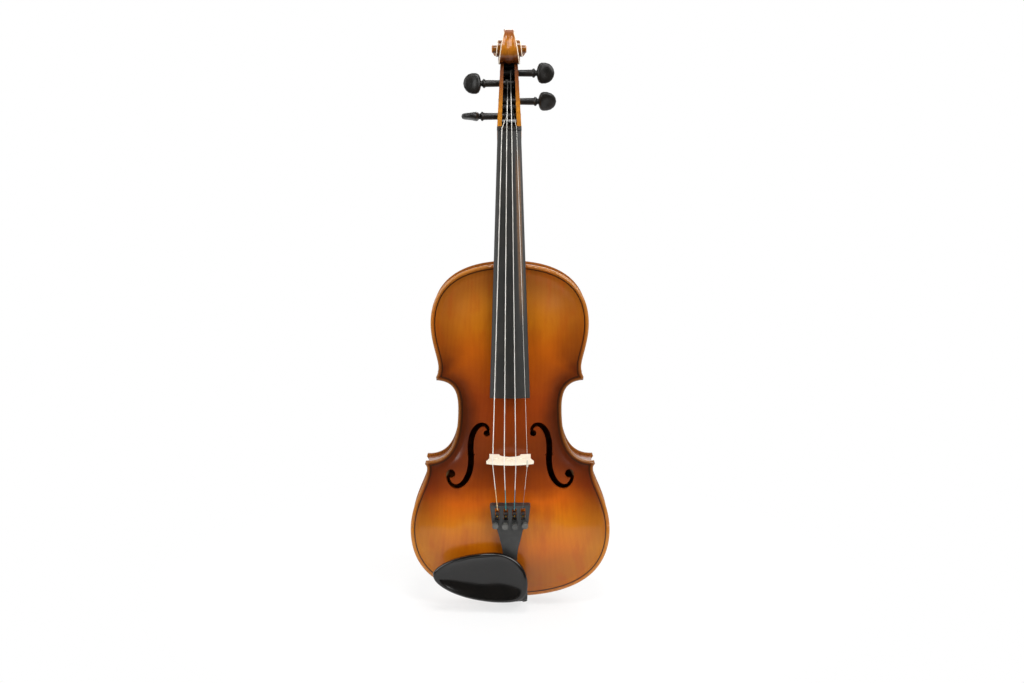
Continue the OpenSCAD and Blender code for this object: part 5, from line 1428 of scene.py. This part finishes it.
    def spiral_w(self, turn: float) -> float:
        """Half width of the scroll along its spiral."""
        crown, throat, ear = self.crown_w, self.throat_w, self.ear_w
        widths = (0.7 * crown, 0.5 * crown, 0.56 * crown, 0.46 * throat, 0.555 * throat, 0.6 * throat,
                  0.61 * throat, 0.4 * ear, 0.5 * ear)
        return float(np.interp(turn, self.width_turns, widths))

    def spiral_point(self, turn: float, r: float) -> tuple[float, float]:
        """Back and up of a point beside the scroll's eye."""
        angle = math.radians(turn)
        return self.eye[0] + r * math.cos(angle), self.eye[1] + r * math.sin(angle)

    def volute(self, bm: bmesh.types.BMesh, wear: bmesh.types.BMLayerItem) -> None:
        """Carve the scroll: fluted rim, rubbed chamfers, hollowed ramp with painted shade in its hollows,
        and walls that wind in to the eye.

        Args:
            bm: The mesh.
            wear: Vertex layer, above 0 on rubbed edges and below 0 for the painted shade in the hollows.
        """
        around = 360 // self.step
        last = (self.last_turn - self.first_turn) // self.step
        flat = last - around
        turns = [self.first_turn + self.step * i for i in range(last + 1)]

        def vert(turn: float, r: float, x: float, rubbed: float) -> bmesh.types.BMVert:
            """One vertex of the scroll."""
            made = bm.verts.new(Vector(self.world(x, *self.spiral_point(turn, r))) * MM)
            made[wear] = rubbed
            return made

        def strip(rows: list[list[bmesh.types.BMVert]]) -> None:
            """Join successive rows, with triangles where corners meet."""
            for near, far in zip(rows, rows[1:]):
                for quad in zip(near, near[1:], far[1:], far):
                    corners = list(dict.fromkeys(quad))
                    if len(corners) > 2:
                        bm.faces.new(corners)

        rubbed = np.interp(turns, self.worn_turns, (0.0, 1.0, 1.0, 0.0))
        rims = {}
        for side in Side:
            sign = side.value
            edge, wall = [], []
            for turn, worn in zip(turns, rubbed):
                r, w = self.spiral_r(turn), self.spiral_w(turn)
                edge.append(vert(turn, r, sign * (w - self.chamfer), worn))
                wall.append(vert(turn, r - self.chamfer, sign * w, worn))
            rims[sign] = edge
            strip([list(pair) for pair in zip(edge, wall)])
            rows = []
            for i in range(flat + 1):
                turn = turns[i]
                outer, inner = self.spiral_r(turn) - self.chamfer, self.spiral_r(turn + 360)
                width = self.spiral_w(turn)
                most, part = self.scoop
                begin, full = self.scoop_steps
                eased = min(1.0, max(self.scoop_start, (i - begin) / (full - begin)))
                scoop = min(most, part * (outer - inner)) * eased
                lip = outer + (inner - outer) * self.lip_share
                row = [wall[i], vert(turn, lip, sign * (width - self.lip_drop), 0.0)]
                for share in self.ramp_shares:
                    drop = scoop * math.sin(math.pi * min(1.0, share * 1.02)) ** 0.7
                    # Painted shade: the ramp darkens towards near black deeper in its hollow.
                    stain_and_shade = max(0.0, share - self.shade_from) / (1 - self.shade_from)
                    r = outer + (inner - outer) * share
                    row.append(vert(turn, r, sign * (width - drop), -self.recess_shade * stain_and_shade))
                # Painted shade at the foot of the wall and under the next turn.
                row.append(vert(turn, inner, sign * (width - 0.05), -self.recess_shade))
                top = self.spiral_w(turn + 360) - self.chamfer - self.undercut
                row.append(vert(turn, inner, sign * top, -self.recess_shade))
                row.append(edge[i + around])
                rows.append(row)
            strip(rows)
            bm.faces.new(wall[flat:])
        rim = []
        for i in range(around + 1):
            turn, w = turns[i], self.spiral_w(turns[i]) - self.chamfer
            row = [rims[-1][i]]
            brim = 1 - self.undercut / w
            places = [-brim] + [-1 + k / 10 for k in range(1, 20)] + [brim]
            flute = float(np.interp(turn, self.flute_turns, (self.shallow_flute, 1.0))) * self.flute * w
            for q in places:
                cut = flute * abs(math.sin(math.pi * q)) ** 1.1
                ridge = self.ridge_wear if abs(q) < 0.01 else 0.0
                row.append(vert(turn, self.spiral_r(turn) - cut, q * w, ridge))
            row.append(rims[1][i])
            rim.append(row)
        strip(rim)

    def back_line(self) -> list[Point]:
        """Side view of the back, from the scroll down the pegbox and round its chin to the shaft."""
        turn = self.back_turn
        joint = np.array(self.spiral_point(turn, self.spiral_r(turn) - self.back_set))
        first, last = self.back_handles
        box = bezier(joint, joint + first, last, (self.shaft_nut, self.back_end), self.back_steps)
        box = box[: self.back_kept]
        level, low = (self.shaft_nut, self.chin_level), (self.shaft_nut, self.chin_low)
        return [joint] + box + bezier(box[-1], self.chin_handle, level, low, 10)

    def profile(self) -> list[Point]:
        """Side view of the pegbox, from the nut up the front, over the scroll and down the back."""
        corners = (
            (self.cheek_set, self.cheek_low), (self.cheek_set, self.nut_t),
            (self.throat_drop, self.pegbox_len))
        front = [np.array(corner) for corner in corners]
        back = [point for point in self.back_line() if point[1] > self.cheek_low]
        return front + [np.array(self.eye)] + back

    def chin(self, bm: bmesh.types.BMesh) -> None:
        """Loft the chin, where the round shaft turns into the square back of the pegbox."""
        line = np.array(self.back_line())[::-1]
        beside, behind = self.chin_inset
        rings = []
        for up in np.linspace(self.chin_low, self.nut_t, 16):
            share = float(smooth_ramp((up - self.chin_low) / (self.nut_t - self.chin_low)))
            depth = float(np.interp(up, line[:, 1], line[:, 0])) - behind
            shaft_hw = self.board_hw(max(0.0, -up)) - beside
            hw = shaft_hw + (self.pegbox_hw(up) - beside - shaft_hw) * share
            ring = self.rounded(hw, depth, 2 + self.chin_square * share**2)
            rings.append([self.world(x, back, up) for x, back in ring])
        Mesh.loft(bm, rings)

    def pegbox(self, bm: bmesh.types.BMesh, wear: bmesh.types.BMLayerItem) -> None:
        """Cheeks, floor and end walls round the open box, which is stained black inside; the black also
        paints the shade in the box.

        Args:
            bm: The mesh.
            wear: Vertex layer, below 0 where the wood is stained black, which also paints the shade in the
                box.
        """
        profile = self.profile()
        for side in Side:
            rows = []
            for share in self.cheek_rows:
                row = []
                for back, up in profile:
                    x = side.value * (self.pegbox_hw(up) - share * self.cheek_t(up))
                    row.append(self.world(x, back, up))
                rows.append(row)
            # The cheeks' inner faces are stained black: a stain and painted shade inside the box.
            for vert in Mesh.loft(bm, rows)[-1]:
                vert[wear] = -1.0
        floor = [(up, back - self.floor_t, back) for back, up in profile[4:]]
        self.block(bm, wear, floor, self.floor_inset)
        ends = (self.nut_t, self.nut_t + self.end_wall)
        self.block(bm, wear, [(up, self.low_wall_front, self.shaft_nut) for up in ends], self.wall_inset)
        throat = [(self.box_top + up, front, back) for up, front, back in self.high_wall]
        self.block(bm, wear, throat, self.wall_inset)

    def block(self, bm: bmesh.types.BMesh, wear: bmesh.types.BMLayerItem,
              levels: Sequence[tuple[float, float, float]], inset: float) -> None:
        """Fill between the cheeks, with a front stained black, which also paints the shade in the box.

        Args:
            bm: The mesh.
            wear: Vertex layer, below 0 where the wood is stained black, which also paints the shade in the
                box.
            levels: For each level, how far up the neck it is, and its front and back.
            inset: How far inside the cheeks' outer faces it ends.
        """
        rings = []
        for up, front, back in levels:
            hw = self.pegbox_hw(up) - inset
            corners = ((-hw, front), (hw, front), (hw, back), (-hw, back))
            rings.append([self.world(x, y, up) for x, y in corners])
        # The front faces are stained black: a stain and painted shade inside the box.
        for ring in Mesh.loft(bm, rings):
            for vert in ring[:2]:
                vert[wear] = -1.0

    def build(self) -> bpy.types.Object:
        """Make the whole neck as one piece."""
        bm = bmesh.new()
        wear = bm.verts.layers.float.new(WEAR_AND_SHADE_ATTRIBUTE)
        self.shaft(bm)
        self.chin(bm)
        self.pegbox(bm, wear)
        self.volute(bm, wear)
        bmesh.ops.recalc_face_normals(bm, faces=bm.faces[:])
        return Mesh.finish(bm, "neck_carved", sharp=40.0)


@dataclass
class Fingerboard:
    """Ebony board with a crowned face, rounded edges and a hollowed free end."""

    neck: Neck = field(default_factory=Neck)
    edge_t: float = 5.0
    radius: float = 42.0
    hollow_r: float = 46.0
    hollow_deep: float = 3.2
    hollow_from: float = 148.5
    hollow_ease: float = 6.0
    edge_round: float = 0.7
    stops: tuple[tuple[float, ...], tuple[float, ...]] = ((0.0, 40.0, 90.0, 140.0), (180.0, 220.0, 255.0))
    across: int = 24

    @staticmethod
    def sag(radius: float, x: float) -> float:
        """Drop of an arc at a distance from its crown."""
        return radius - math.sqrt(max(0.0, radius * radius - x * x))

    def section(self, down: float) -> list[tuple[float, float, float]]:
        """Cross-section at a distance below the nut."""
        hw = self.neck.board_hw(down)
        eased = smooth_ramp(np.array((down - self.hollow_from) / self.hollow_ease))
        hollow = self.hollow_deep * float(eased)
        crown = self.edge_t + self.sag(self.radius, hw)
        places = [-hw + 2 * hw * i / self.across for i in range(self.across + 1)]
        face = [self.neck.world(x, -(crown - self.sag(self.radius, x)), -down) for x in places]
        under = []
        for x in reversed(places):
            cut = max(0.0, hollow - self.sag(self.hollow_r, x)) if hollow else 0.0
            under.append(self.neck.world(x, -cut, -down))
        return face + under

    def build(self) -> bpy.types.Object:
        """Make the board."""
        bm = bmesh.new()
        glued, free = self.stops
        eased = [self.hollow_from + self.hollow_ease * i / 3 for i in range(4)]
        stops = [*glued, *eased, *free, self.neck.board_len]
        Mesh.loft(bm, [self.section(down) for down in stops])
        bmesh.ops.recalc_face_normals(bm, faces=bm.faces[:])
        piece = Mesh.finish(bm, "fingerboard_planed", sharp=30.0)
        Mesh.bevel(piece, self.edge_round, 3)
        return piece


@dataclass
class Peg:
    """A tuning peg: tapered shaft, turned collar and heart-shaped thumb piece."""

    string: String
    side: Side
    up: float
    turn: float
    neck: Neck = field(default_factory=Neck)
    depth: float = 10.0
    shaft_d: float = 6.9
    taper: float = 30.0
    reach: float = 14.6
    collar_d: float = 9.6
    thumb_len: float = 18.3
    thumb_w: float = 21.4
    thumb_t: float = 9.8
    tip_out: float = 0.2
    dish_deep: float = 0.26
    dish_at: float = 0.52
    dish_spread: tuple[float, float] = (0.05, 0.3)
    face_flat: float = 0.75
    stations: tuple[float, ...] = (0, 0.05, 0.13, 0.27, 0.5, 0.7, 0.85, 0.95, 1)
    wide: tuple[float, ...] = (0.3, 0.62, 0.88, 1, 0.99, 0.88, 0.66, 0.38, 0)
    thick: tuple[float, ...] = (0.5, 0.82, 1, 0.95, 0.82, 0.72, 0.62, 0.48, 0)

    def radius(self, out: float) -> float:
        """Radius of the shaft at a distance from the centre line."""
        return self.shaft_d / 2 - (self.neck.pegbox_hw(self.up) - out) / (2 * self.taper)

    def turned(self, bm: bmesh.types.BMesh) -> float:
        """Spin the shaft and the collar round X.

        Args:
            bm: The mesh, in millimetres.

        Returns:
            Where the thumb piece starts.
        """
        cheek = self.neck.pegbox_hw(self.up)
        tip, collar = -cheek - self.tip_out, cheek + self.reach
        c = self.collar_d / 2
        line = [
            (tip, 0.0), (tip, self.radius(tip) - 0.5), (tip + 0.5, self.radius(tip + 0.5)),
            (0, self.radius(0)), (cheek, self.radius(cheek)), (collar - 0.6, self.radius(collar)),
            (collar - 0.2, c - 1.0), (collar + 0.5, c - 0.1), (collar + 1.0, c), (collar + 2.0, c - 0.1),
            (collar + 2.7, c - 1.0), (collar + 3.0, 3.3), (collar + 3.8, 2.9), (collar + 4.8, 3.1),
            (collar + 6.2, 3.6), (collar + 6.4, 0.0)]
        verts = [bm.verts.new((x, r, 0)) for x, r in line]
        edges = [bm.edges.new(pair) for pair in zip(verts, verts[1:])]
        bmesh.ops.spin(bm, geom=verts + edges, cent=(0, 0, 0), axis=(1, 0, 0), angle=2 * math.pi, steps=36,
                       use_merge=True)
        return collar + 4.4

    def thumb(self, bm: bmesh.types.BMesh, start: float) -> None:
        """Shape the thumb piece from a sphere: broad shoulders, a round end and dished faces.

        Args:
            bm: The mesh, in millimetres.
            start: Where it begins on the axis.
        """
        long, broad = self.dish_spread
        made = bmesh.ops.create_uvsphere(bm, u_segments=48, v_segments=36, radius=1.0)
        for vert in made["verts"]:
            pole, a, b = vert.co.z, vert.co.x, vert.co.y
            round_share = max(1e-6, math.hypot(a, b))
            along, a, b = (pole + 1) / 2, a / round_share, b / round_share
            wide = np.interp(along, self.stations, self.wide)
            thick = np.interp(along, self.stations, self.thick)
            dish = 1 - self.dish_deep * math.exp(-((along - self.dish_at) ** 2) / long - a * a / broad)
            flat = math.copysign(abs(b) ** self.face_flat, b)
            across, deep = 0.5 * self.thumb_w * wide * a, 0.5 * self.thumb_t * thick * dish * flat
            vert.co = Vector((start + self.thumb_len * along, across, deep))
        spin = Matrix.Rotation(math.radians(self.turn - 90), 4, "X")
        bmesh.ops.transform(bm, matrix=spin, verts=made["verts"])

    def build(self) -> bpy.types.Object:
        """Make the peg in its bore."""
        bm = bmesh.new()
        start = self.turned(bm)
        self.thumb(bm, start)
        back = self.neck.pegbox_front(self.up) + self.depth
        origin = Vector(self.neck.world(0, back, self.up))
        lean = Matrix.Rotation(math.radians(-self.neck.tilt), 4, "X")
        mirror = Matrix.Diagonal((self.side.value, 1, 1, 1))
        place = Matrix.Scale(MM, 4) @ Matrix.Translation(origin) @ lean @ mirror
        bmesh.ops.transform(bm, matrix=place, verts=bm.verts[:])
        Mesh.tidy(bm)
        return Mesh.finish(bm, f"peg_{self.string.value}_turned", sharp=45.0)


@dataclass
class ChinRest:
    """Dished cup with its feet over both sides of the saddle."""

    left: float = 81.0
    right: float = 18.2
    low: float = 2.2
    high: float = 56.4
    rim_low: float = 43.6
    rim_high: float = 46.4
    lift: float = 7.0
    twist: float = 9.0
    sweep: float = 7.0
    dish: float = 5.6
    cup_t: float = 4.4
    rim_w: float = 3.0
    foot_inner: float = 12.9
    bass_foot_w: float = 16.0
    treble_foot_w: float = 5.1
    bass_rise: tuple[float, float] = (3.4, 0.6)
    treble_rise: tuple[float, float] = (1.4, 3.6)
    treble_lip_rise: tuple[float, float] = (0.4, 1.6)
    foot_low: float = -4.1
    foot_edge: float = 0.6
    foot_high: float = 16.0
    foot_y: float = 20.7
    lip_deep: float = 6.0
    lip_high: float = 4.0
    arm_inner: float = 2.0
    arm_lap: float = 2.0
    arm_levels: tuple[float, float] = (0.8, 15.8)
    soft: float = 0.9
    frame: Frame = field(default_factory=Frame)

    def outline(self) -> np.ndarray:
        """Cup from the front, counter-clockwise from its treble end."""
        span = self.left + self.right

        def mix(a: float, b: float, t: float) -> float:
            """Point between two numbers."""
            return a + (b - a) * t

        right = (self.right, mix(self.low, self.high, 0.36))
        top = (self.right - 0.38 * span, self.high)
        left = (-self.left, mix(self.low, self.high, 0.56))
        low = (self.right - 0.3 * span, self.low)
        points = bezier(
            right, (self.right, mix(right[1], self.high, 0.62)), (mix(top[0], self.right, 0.55), self.high),
            top, 22)
        points += bezier(
            top, (mix(top[0], -self.left, 0.56), self.high), (-self.left, mix(left[1], self.high, 0.4)),
            left, 24)
        points += bezier(
            left, (-self.left, mix(left[1], self.low, 0.46)), (mix(low[0], -self.left, 0.5), self.low),
            low, 24)
        points += bezier(
            low, (mix(low[0], self.right, 0.8), self.low), (self.right, mix(right[1], self.low, 0.75)),
            right, 18)
        return np.array(points)

    def ring(self, share: float, depth: float, raised: float = 0.0) -> list[tuple[float, float, float]]:
        """Outline drawn in by a share, at a depth below the rim.

        Args:
            share: How much of the outline is left.
            depth: Depth below the rim.
            raised: How far the deepest place is moved up and twisted, from 0 to 1.

        Returns:
            Points of the ring.
        """
        heart = np.array([-self.left + 0.52 * (self.left + self.right), 0.5 * (self.low + self.high)])
        result = []
        for x, z in heart + (self.outline() - heart) * share:
            tall = (z - self.low) / (self.high - self.low)
            across = (x - heart[0]) / (0.5 * (self.left + self.right))
            swept = self.sweep * max(0.0, across) * (tall - 0.5)
            rim = self.rim_low + (self.rim_high - self.rim_low) * tall - swept
            slant = self.lift + self.twist * across
            moved = raised * slant * (1 - share)
            result.append((x, -(rim - depth), z + moved + self.frame.edge_z))
        return result

    def cup(self, bm: bmesh.types.BMesh) -> None:
        """Loft the cup from its underside over the rim into the dish."""
        rim = 1 - self.rim_w / (0.5 * (self.high - self.low))
        under = self.dish + self.cup_t
        shell = [
            (0.02, under), (0.3, under), (0.6, under), (0.84, 0.96 * under), (0.94, 0.82 * under),
            (0.985, 0.6 * under), (1.0, 0.3 * under), (0.995, 0.13 * under), (0.975, 0.035 * under),
            (0.5 + rim / 2, 0.0), (rim + 0.015, 0.12)]
        hollow = [
            (rim - 0.01, 0.6), (0.93 * rim, 0.26 * self.dish), (0.8 * rim, 0.54 * self.dish),
            (0.6 * rim, 0.8 * self.dish), (0.36 * rim, 0.95 * self.dish), (0.15 * rim, self.dish),
            (0.02, self.dish)]
        rings = [self.ring(share, depth) for share, depth in shell]
        rings += [self.ring(share, depth, 1.0) for share, depth in hollow]
        Mesh.loft(bm, rings)

    def feet(self, bm: bmesh.types.BMesh) -> None:
        """Add both feet, with the lips round their posts, and the arm over the gut."""
        under = self.rim_low - (self.dish + self.cup_t) / 2
        feet = (
            (Side.BASS, self.bass_foot_w, self.bass_rise, self.bass_rise),
            (Side.TREBLE, self.treble_foot_w, self.treble_rise, self.treble_lip_rise))
        for side, width, rise, lip_rise in feet:
            ends = sorted((side.value * self.foot_inner, side.value * (self.foot_inner + width)))
            edge = self.levels(self.foot_edge, self.foot_high)
            Mesh.block(bm, ends, (self.foot_y, under), edge, self.soft, rise)
            lip = self.levels(self.foot_low, self.lip_high)
            Mesh.block(bm, ends, (self.foot_y, self.foot_y + self.lip_deep), lip, self.soft, lip_rise)
        top = self.rim_low - self.dish - self.cup_t
        ends = (self.arm_inner, self.foot_inner + self.arm_lap)
        arm = self.levels(*self.arm_levels)
        Mesh.block(bm, ends, (top, under), arm, self.soft, (0.0, self.treble_rise[0]))

    def levels(self, low: float, high: float) -> tuple[float, float]:
        """Two heights over the body's lower edge as heights in the row frame."""
        return self.frame.edge_z + low, self.frame.edge_z + high

    def build(self) -> bpy.types.Object:
        """Make the chin rest as one piece."""
        bm = bmesh.new()
        self.cup(bm)
        self.feet(bm)
        bmesh.ops.recalc_face_normals(bm, faces=bm.faces[:])
        return Mesh.finish(bm, "chinrest_cup", sharp=48.0)


@dataclass(frozen=True)
class Lamp:
    """A soft square lamp that faces the instrument."""

    name: str
    place: tuple[float, float, float]
    size: float
    power: float
    aim: tuple[float, float, float] = (0.0, 0.0, 0.3)

    def hang(self) -> None:
        """Put the lamp in the scene."""
        data = bpy.data.lights.new(self.name, "AREA")
        data.size = self.size
        data.energy = self.power
        lamp = bpy.data.objects.new(self.name, data)
        lamp.location = self.place
        lamp.rotation_euler = (Vector(self.aim) - Vector(self.place)).to_track_quat("-Z", "Y").to_euler()
        bpy.context.scene.collection.objects.link(lamp)


@dataclass
class Studio:
    """Camera at the photograph's angle, pale floor, pale surroundings and soft light.

    The floor, the distances of its fade to white and the lamps are in metres.
    """

    eye: tuple[float, float, float] = (0.0, -1343.9, 502.6)
    pitch: float = 9.3
    roll: float = -0.13
    lens: float = 45.703
    shift_x: float = 0.0022
    floor_hw: float = 1.6
    floor_front: float = 0.29
    floor_back: float = 2.2
    floor_drop: float = 0.001
    floor_colour: Colour = (0.88, 0.88, 0.87, 1)
    fade: tuple[float, float] = (0.12, 0.42)
    fade_behind: float = 0.1
    near_white: float = 0.72
    dark_front: tuple[float, float] = (-0.3, 0.4)
    white_back: tuple[float, float] = (0.0, 0.4)
    front_level: float = 0.05
    back_level: float = 0.7
    lamps: tuple[Lamp, ...] = (
        Lamp("key", (1.4, -1.4, 1.5), 1.6, 47.0),
        Lamp("fill", (-1.75, -1.15, 1.15), 1.6, 33.0),
        Lamp("overhead", (0.05, -0.85, 2.0), 0.6, 14.0),
        Lamp("back", (0.3, 1.4, 1.5), 1.0, 14.0))

    def camera(self) -> None:
        """Place the camera."""
        data = bpy.data.cameras.new("camera")
        data.sensor_width = 36.0
        data.sensor_fit = "HORIZONTAL"
        data.lens = self.lens
        data.shift_x = self.shift_x
        data.clip_start = 0.01
        data.clip_end = 60.0
        camera = bpy.data.objects.new("camera", data)
        camera.location = Vector(self.eye) * MM
        tip = Matrix.Rotation(math.radians(90 - self.pitch), 4, "X")
        lean = Matrix.Rotation(math.radians(self.roll), 4, "Z")
        camera.rotation_euler = (tip @ lean).to_euler()
        bpy.context.scene.collection.objects.link(camera)
        bpy.context.scene.camera = camera

    def floor(self) -> None:
        """Lay the pale floor, which fades into the white surroundings and keeps the shadow."""
        bm = bmesh.new()
        bmesh.ops.create_grid(bm, x_segments=1, y_segments=1, size=1.0)
        long = self.floor_front + self.floor_back
        bmesh.ops.scale(bm, vec=(self.floor_hw, long / 2, 1), verts=bm.verts[:])
        middle = (self.floor_back - self.floor_front) / 2
        bmesh.ops.translate(bm, vec=(0, middle, -self.floor_drop), verts=bm.verts[:])
        piece = Mesh.finish(bm, "studio_floor")
        s = Surface("studio floor", Base_Color=self.floor_colour, Roughness=0.8)
        path = s.add("ShaderNodeLightPath")
        across = s.math("POWER", s.math("DIVIDE", s.x, 1000.0), 2.0)
        behind = s.math("SUBTRACT", s.y, self.fade_behind / MM)
        along = s.math("POWER", s.math("DIVIDE", behind, 1000.0), 2.0)
        far = s.span(s.math("SQRT", s.math("ADD", across, along)), *self.fade, self.near_white, 1.0)
        mirrored = s.math("MAXIMUM", path.outputs["Is Glossy Ray"], path.outputs["Is Transmission Ray"])
        share = s.math("MAXIMUM", mirrored, s.times(path.outputs["Is Camera Ray"], far))
        white = s.add("ShaderNodeEmission")
        mix = s.add("ShaderNodeMixShader")
        s.link(share, mix.inputs[0])
        s.link(s.shader.outputs[0], mix.inputs[1])
        s.link(white.outputs[0], mix.inputs[2])
        s.link(mix.outputs[0], s.tree.nodes["Material Output"].inputs["Surface"])
        piece.data.materials.append(s.material)

    def world(self) -> None:
        """Pale surroundings, brighter behind the instrument than in front of it."""
        world = bpy.data.worlds.new("studio")
        world.use_nodes = True
        net = Net(world.node_tree)
        shader = world.node_tree.nodes["Background"]
        path = net.add("ShaderNodeLightPath")
        seen = net.math("MAXIMUM", path.outputs["Is Camera Ray"], path.outputs["Is Transmission Ray"])
        _, back, _ = net.split(net.add("ShaderNodeTexCoord").outputs["Generated"])
        level = net.span(back, *self.dark_front, self.front_level, self.back_level)
        mirrored = net.times(path.outputs["Is Glossy Ray"], net.span(back, *self.white_back))
        seen = net.math("MAXIMUM", seen, mirrored)
        shader.inputs["Color"].default_value = (1, 1, 1, 1)
        net.link(net.math("MAXIMUM", seen, level), shader.inputs["Strength"])
        bpy.context.scene.world = world

    def build(self) -> None:
        """Set up the whole studio."""
        bpy.context.scene.view_settings.view_transform = "Standard"
        self.camera()
        self.floor()
        self.world()
        for lamp in self.lamps:
            lamp.hang()


class Assembly:
    """A sub-assembly that builds its meshes and dresses them."""

    def dress(self, violin: Instrument) -> None:
        """Build and dress every piece."""
        raise NotImplementedError


@dataclass
class Body(Assembly):
    """Plates, ribs and the work inside the body."""

    top: Plate = field(
        default_factory=lambda: Plate(Face.FRONT, arch_h=15.5, middle_t=3.0, holes=(SoundHole(),)))
    back: Plate = field(default_factory=lambda: Plate(Face.BACK, arch_h=15.0, middle_t=3.6))
    inner_work: tuple[str, ...] = (
        "top_linings", "back_linings", "corner_blocks", "upper_block", "lower_block", "bass_bar",
        "sound_post")

    def dress(self, violin: Instrument) -> None:
        """Build and dress every piece."""
        violin.adopt(self.top.build("top_carved"), SPRUCE_TOP, "top_plate", "top_purfling")
        violin.adopt(self.back.build("back_carved"), MAPLE_BACK, "back_plate", "back_purfling")
        for part in ("upper", "middle", "lower"):
            for side in Side:
                violin.refine(f"rib_{part}_{side.name.lower()}", MAPLE_RIBS, 0.0)
        for node in self.inner_work:
            violin.keep(node, INNER_SPRUCE)


@dataclass
class NeckSet(Assembly):
    """Neck with scroll, fingerboard, nut and pegs."""

    neck: Neck = field(default_factory=Neck)
    nut_round: float = 0.25
    pegs: tuple[tuple[String, Side, float, float], ...] = (
        (String.G, Side.BASS, 16.0, 90.0), (String.D, Side.BASS, 50.4, 0.0),
        (String.A, Side.TREBLE, 61.2, 12.0), (String.E, Side.TREBLE, 31.5, 40.0))

    def dress(self, violin: Instrument) -> None:
        """Build and dress every piece."""
        violin.adopt(self.neck.build(), MAPLE_NECK, "neck")
        violin.adopt(Fingerboard(self.neck).build(), BOARD_EBONY, "fingerboard")
        violin.refine("nut", PEG_EBONY, self.nut_round)
        for string, side, up, turn in self.pegs:
            peg = Peg(string, side, up, turn, self.neck)
            violin.adopt(peg.build(), PEG_EBONY, f"peg_{string.value}")


@dataclass
class StringSet(Assembly):
    """Strings, their windings and ball ends, and the bridge under them."""

    bridge_round: float = 0.35

    def dress(self, violin: Instrument) -> None:
        """Build and dress every piece."""
        for string in String:
            violin.keep(f"string_{string.value}", SILKS[string])
            violin.keep(f"winding_{string.value}", SHADED_WINDING)
            violin.keep(f"string_ball_{string.value}", SHADED_BALL_BRASS)
        violin.keep("e_string_sleeve", SLEEVE_TUBE)
        violin.refine("bridge", BRIDGE_MAPLE, self.bridge_round)


@dataclass
class TailSet(Assembly):
    """Tailpiece with its tuners, saddle, button and gut."""

    tail_round: float = 0.7
    shoulder: tuple[tuple[float, float], ...] = (
        (78.0, 1.0), (84.0, 0.92), (89.5, 0.85), (92.6, 0.9), (94.4, 1.0))
    tuner_round: float = 0.25
    saddle_round: float = 0.5
    button_round: float = 0.4

    def dress(self, violin: Instrument) -> None:
        """Build and dress every piece."""
        violin.refine("tailpiece", COMPOSITE, self.tail_round, 3, self.shoulder)
        for string in String:
            violin.refine(f"tuner_lever_{string.value}", TUNER_BLACK, self.tuner_round)
            violin.refine(f"tuner_screw_{string.value}", SCREW_BLACK, self.tuner_round)
        violin.keep("tuner_pivots", PIVOT_STEEL)
        violin.refine("saddle", PEG_EBONY, self.saddle_round)
        violin.refine("end_button", PEG_EBONY, self.button_round)
        violin.keep("tail_gut", GUT_NYLON)


@dataclass
class ChinRestSet(Assembly):
    """Chin rest with its clamps and corks."""

    rest: ChinRest = field(default_factory=ChinRest)
    barrel_round: float = 0.2
    hook_round: float = 0.5

    def dress(self, violin: Instrument) -> None:
        """Build and dress every piece."""
        violin.adopt(self.rest.build(), CHIN_EBONY, "chinrest")
        for side in Side:
            name = side.name.lower()
            violin.refine(f"clamp_barrel_{name}", NICKEL, self.barrel_round)
            violin.refine(f"clamp_hook_{name}", NICKEL, self.hook_round)
            violin.keep(f"hook_cork_{name}", CORK)
        violin.keep("clamp_posts", NICKEL)
        violin.keep("chinrest_cork", CORK)


def main() -> None:
    """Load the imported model, set up the studio and dress each sub-assembly."""
    logging.basicConfig(level=logging.INFO, format="%(name)s: %(message)s")
    violin = Instrument(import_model())
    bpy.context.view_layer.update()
    Studio().build()
    for part in (Body(), NeckSet(), StringSet(), TailSet(), ChinRestSet()):
        part.dress(violin)


if __name__ == "__main__":
    main()
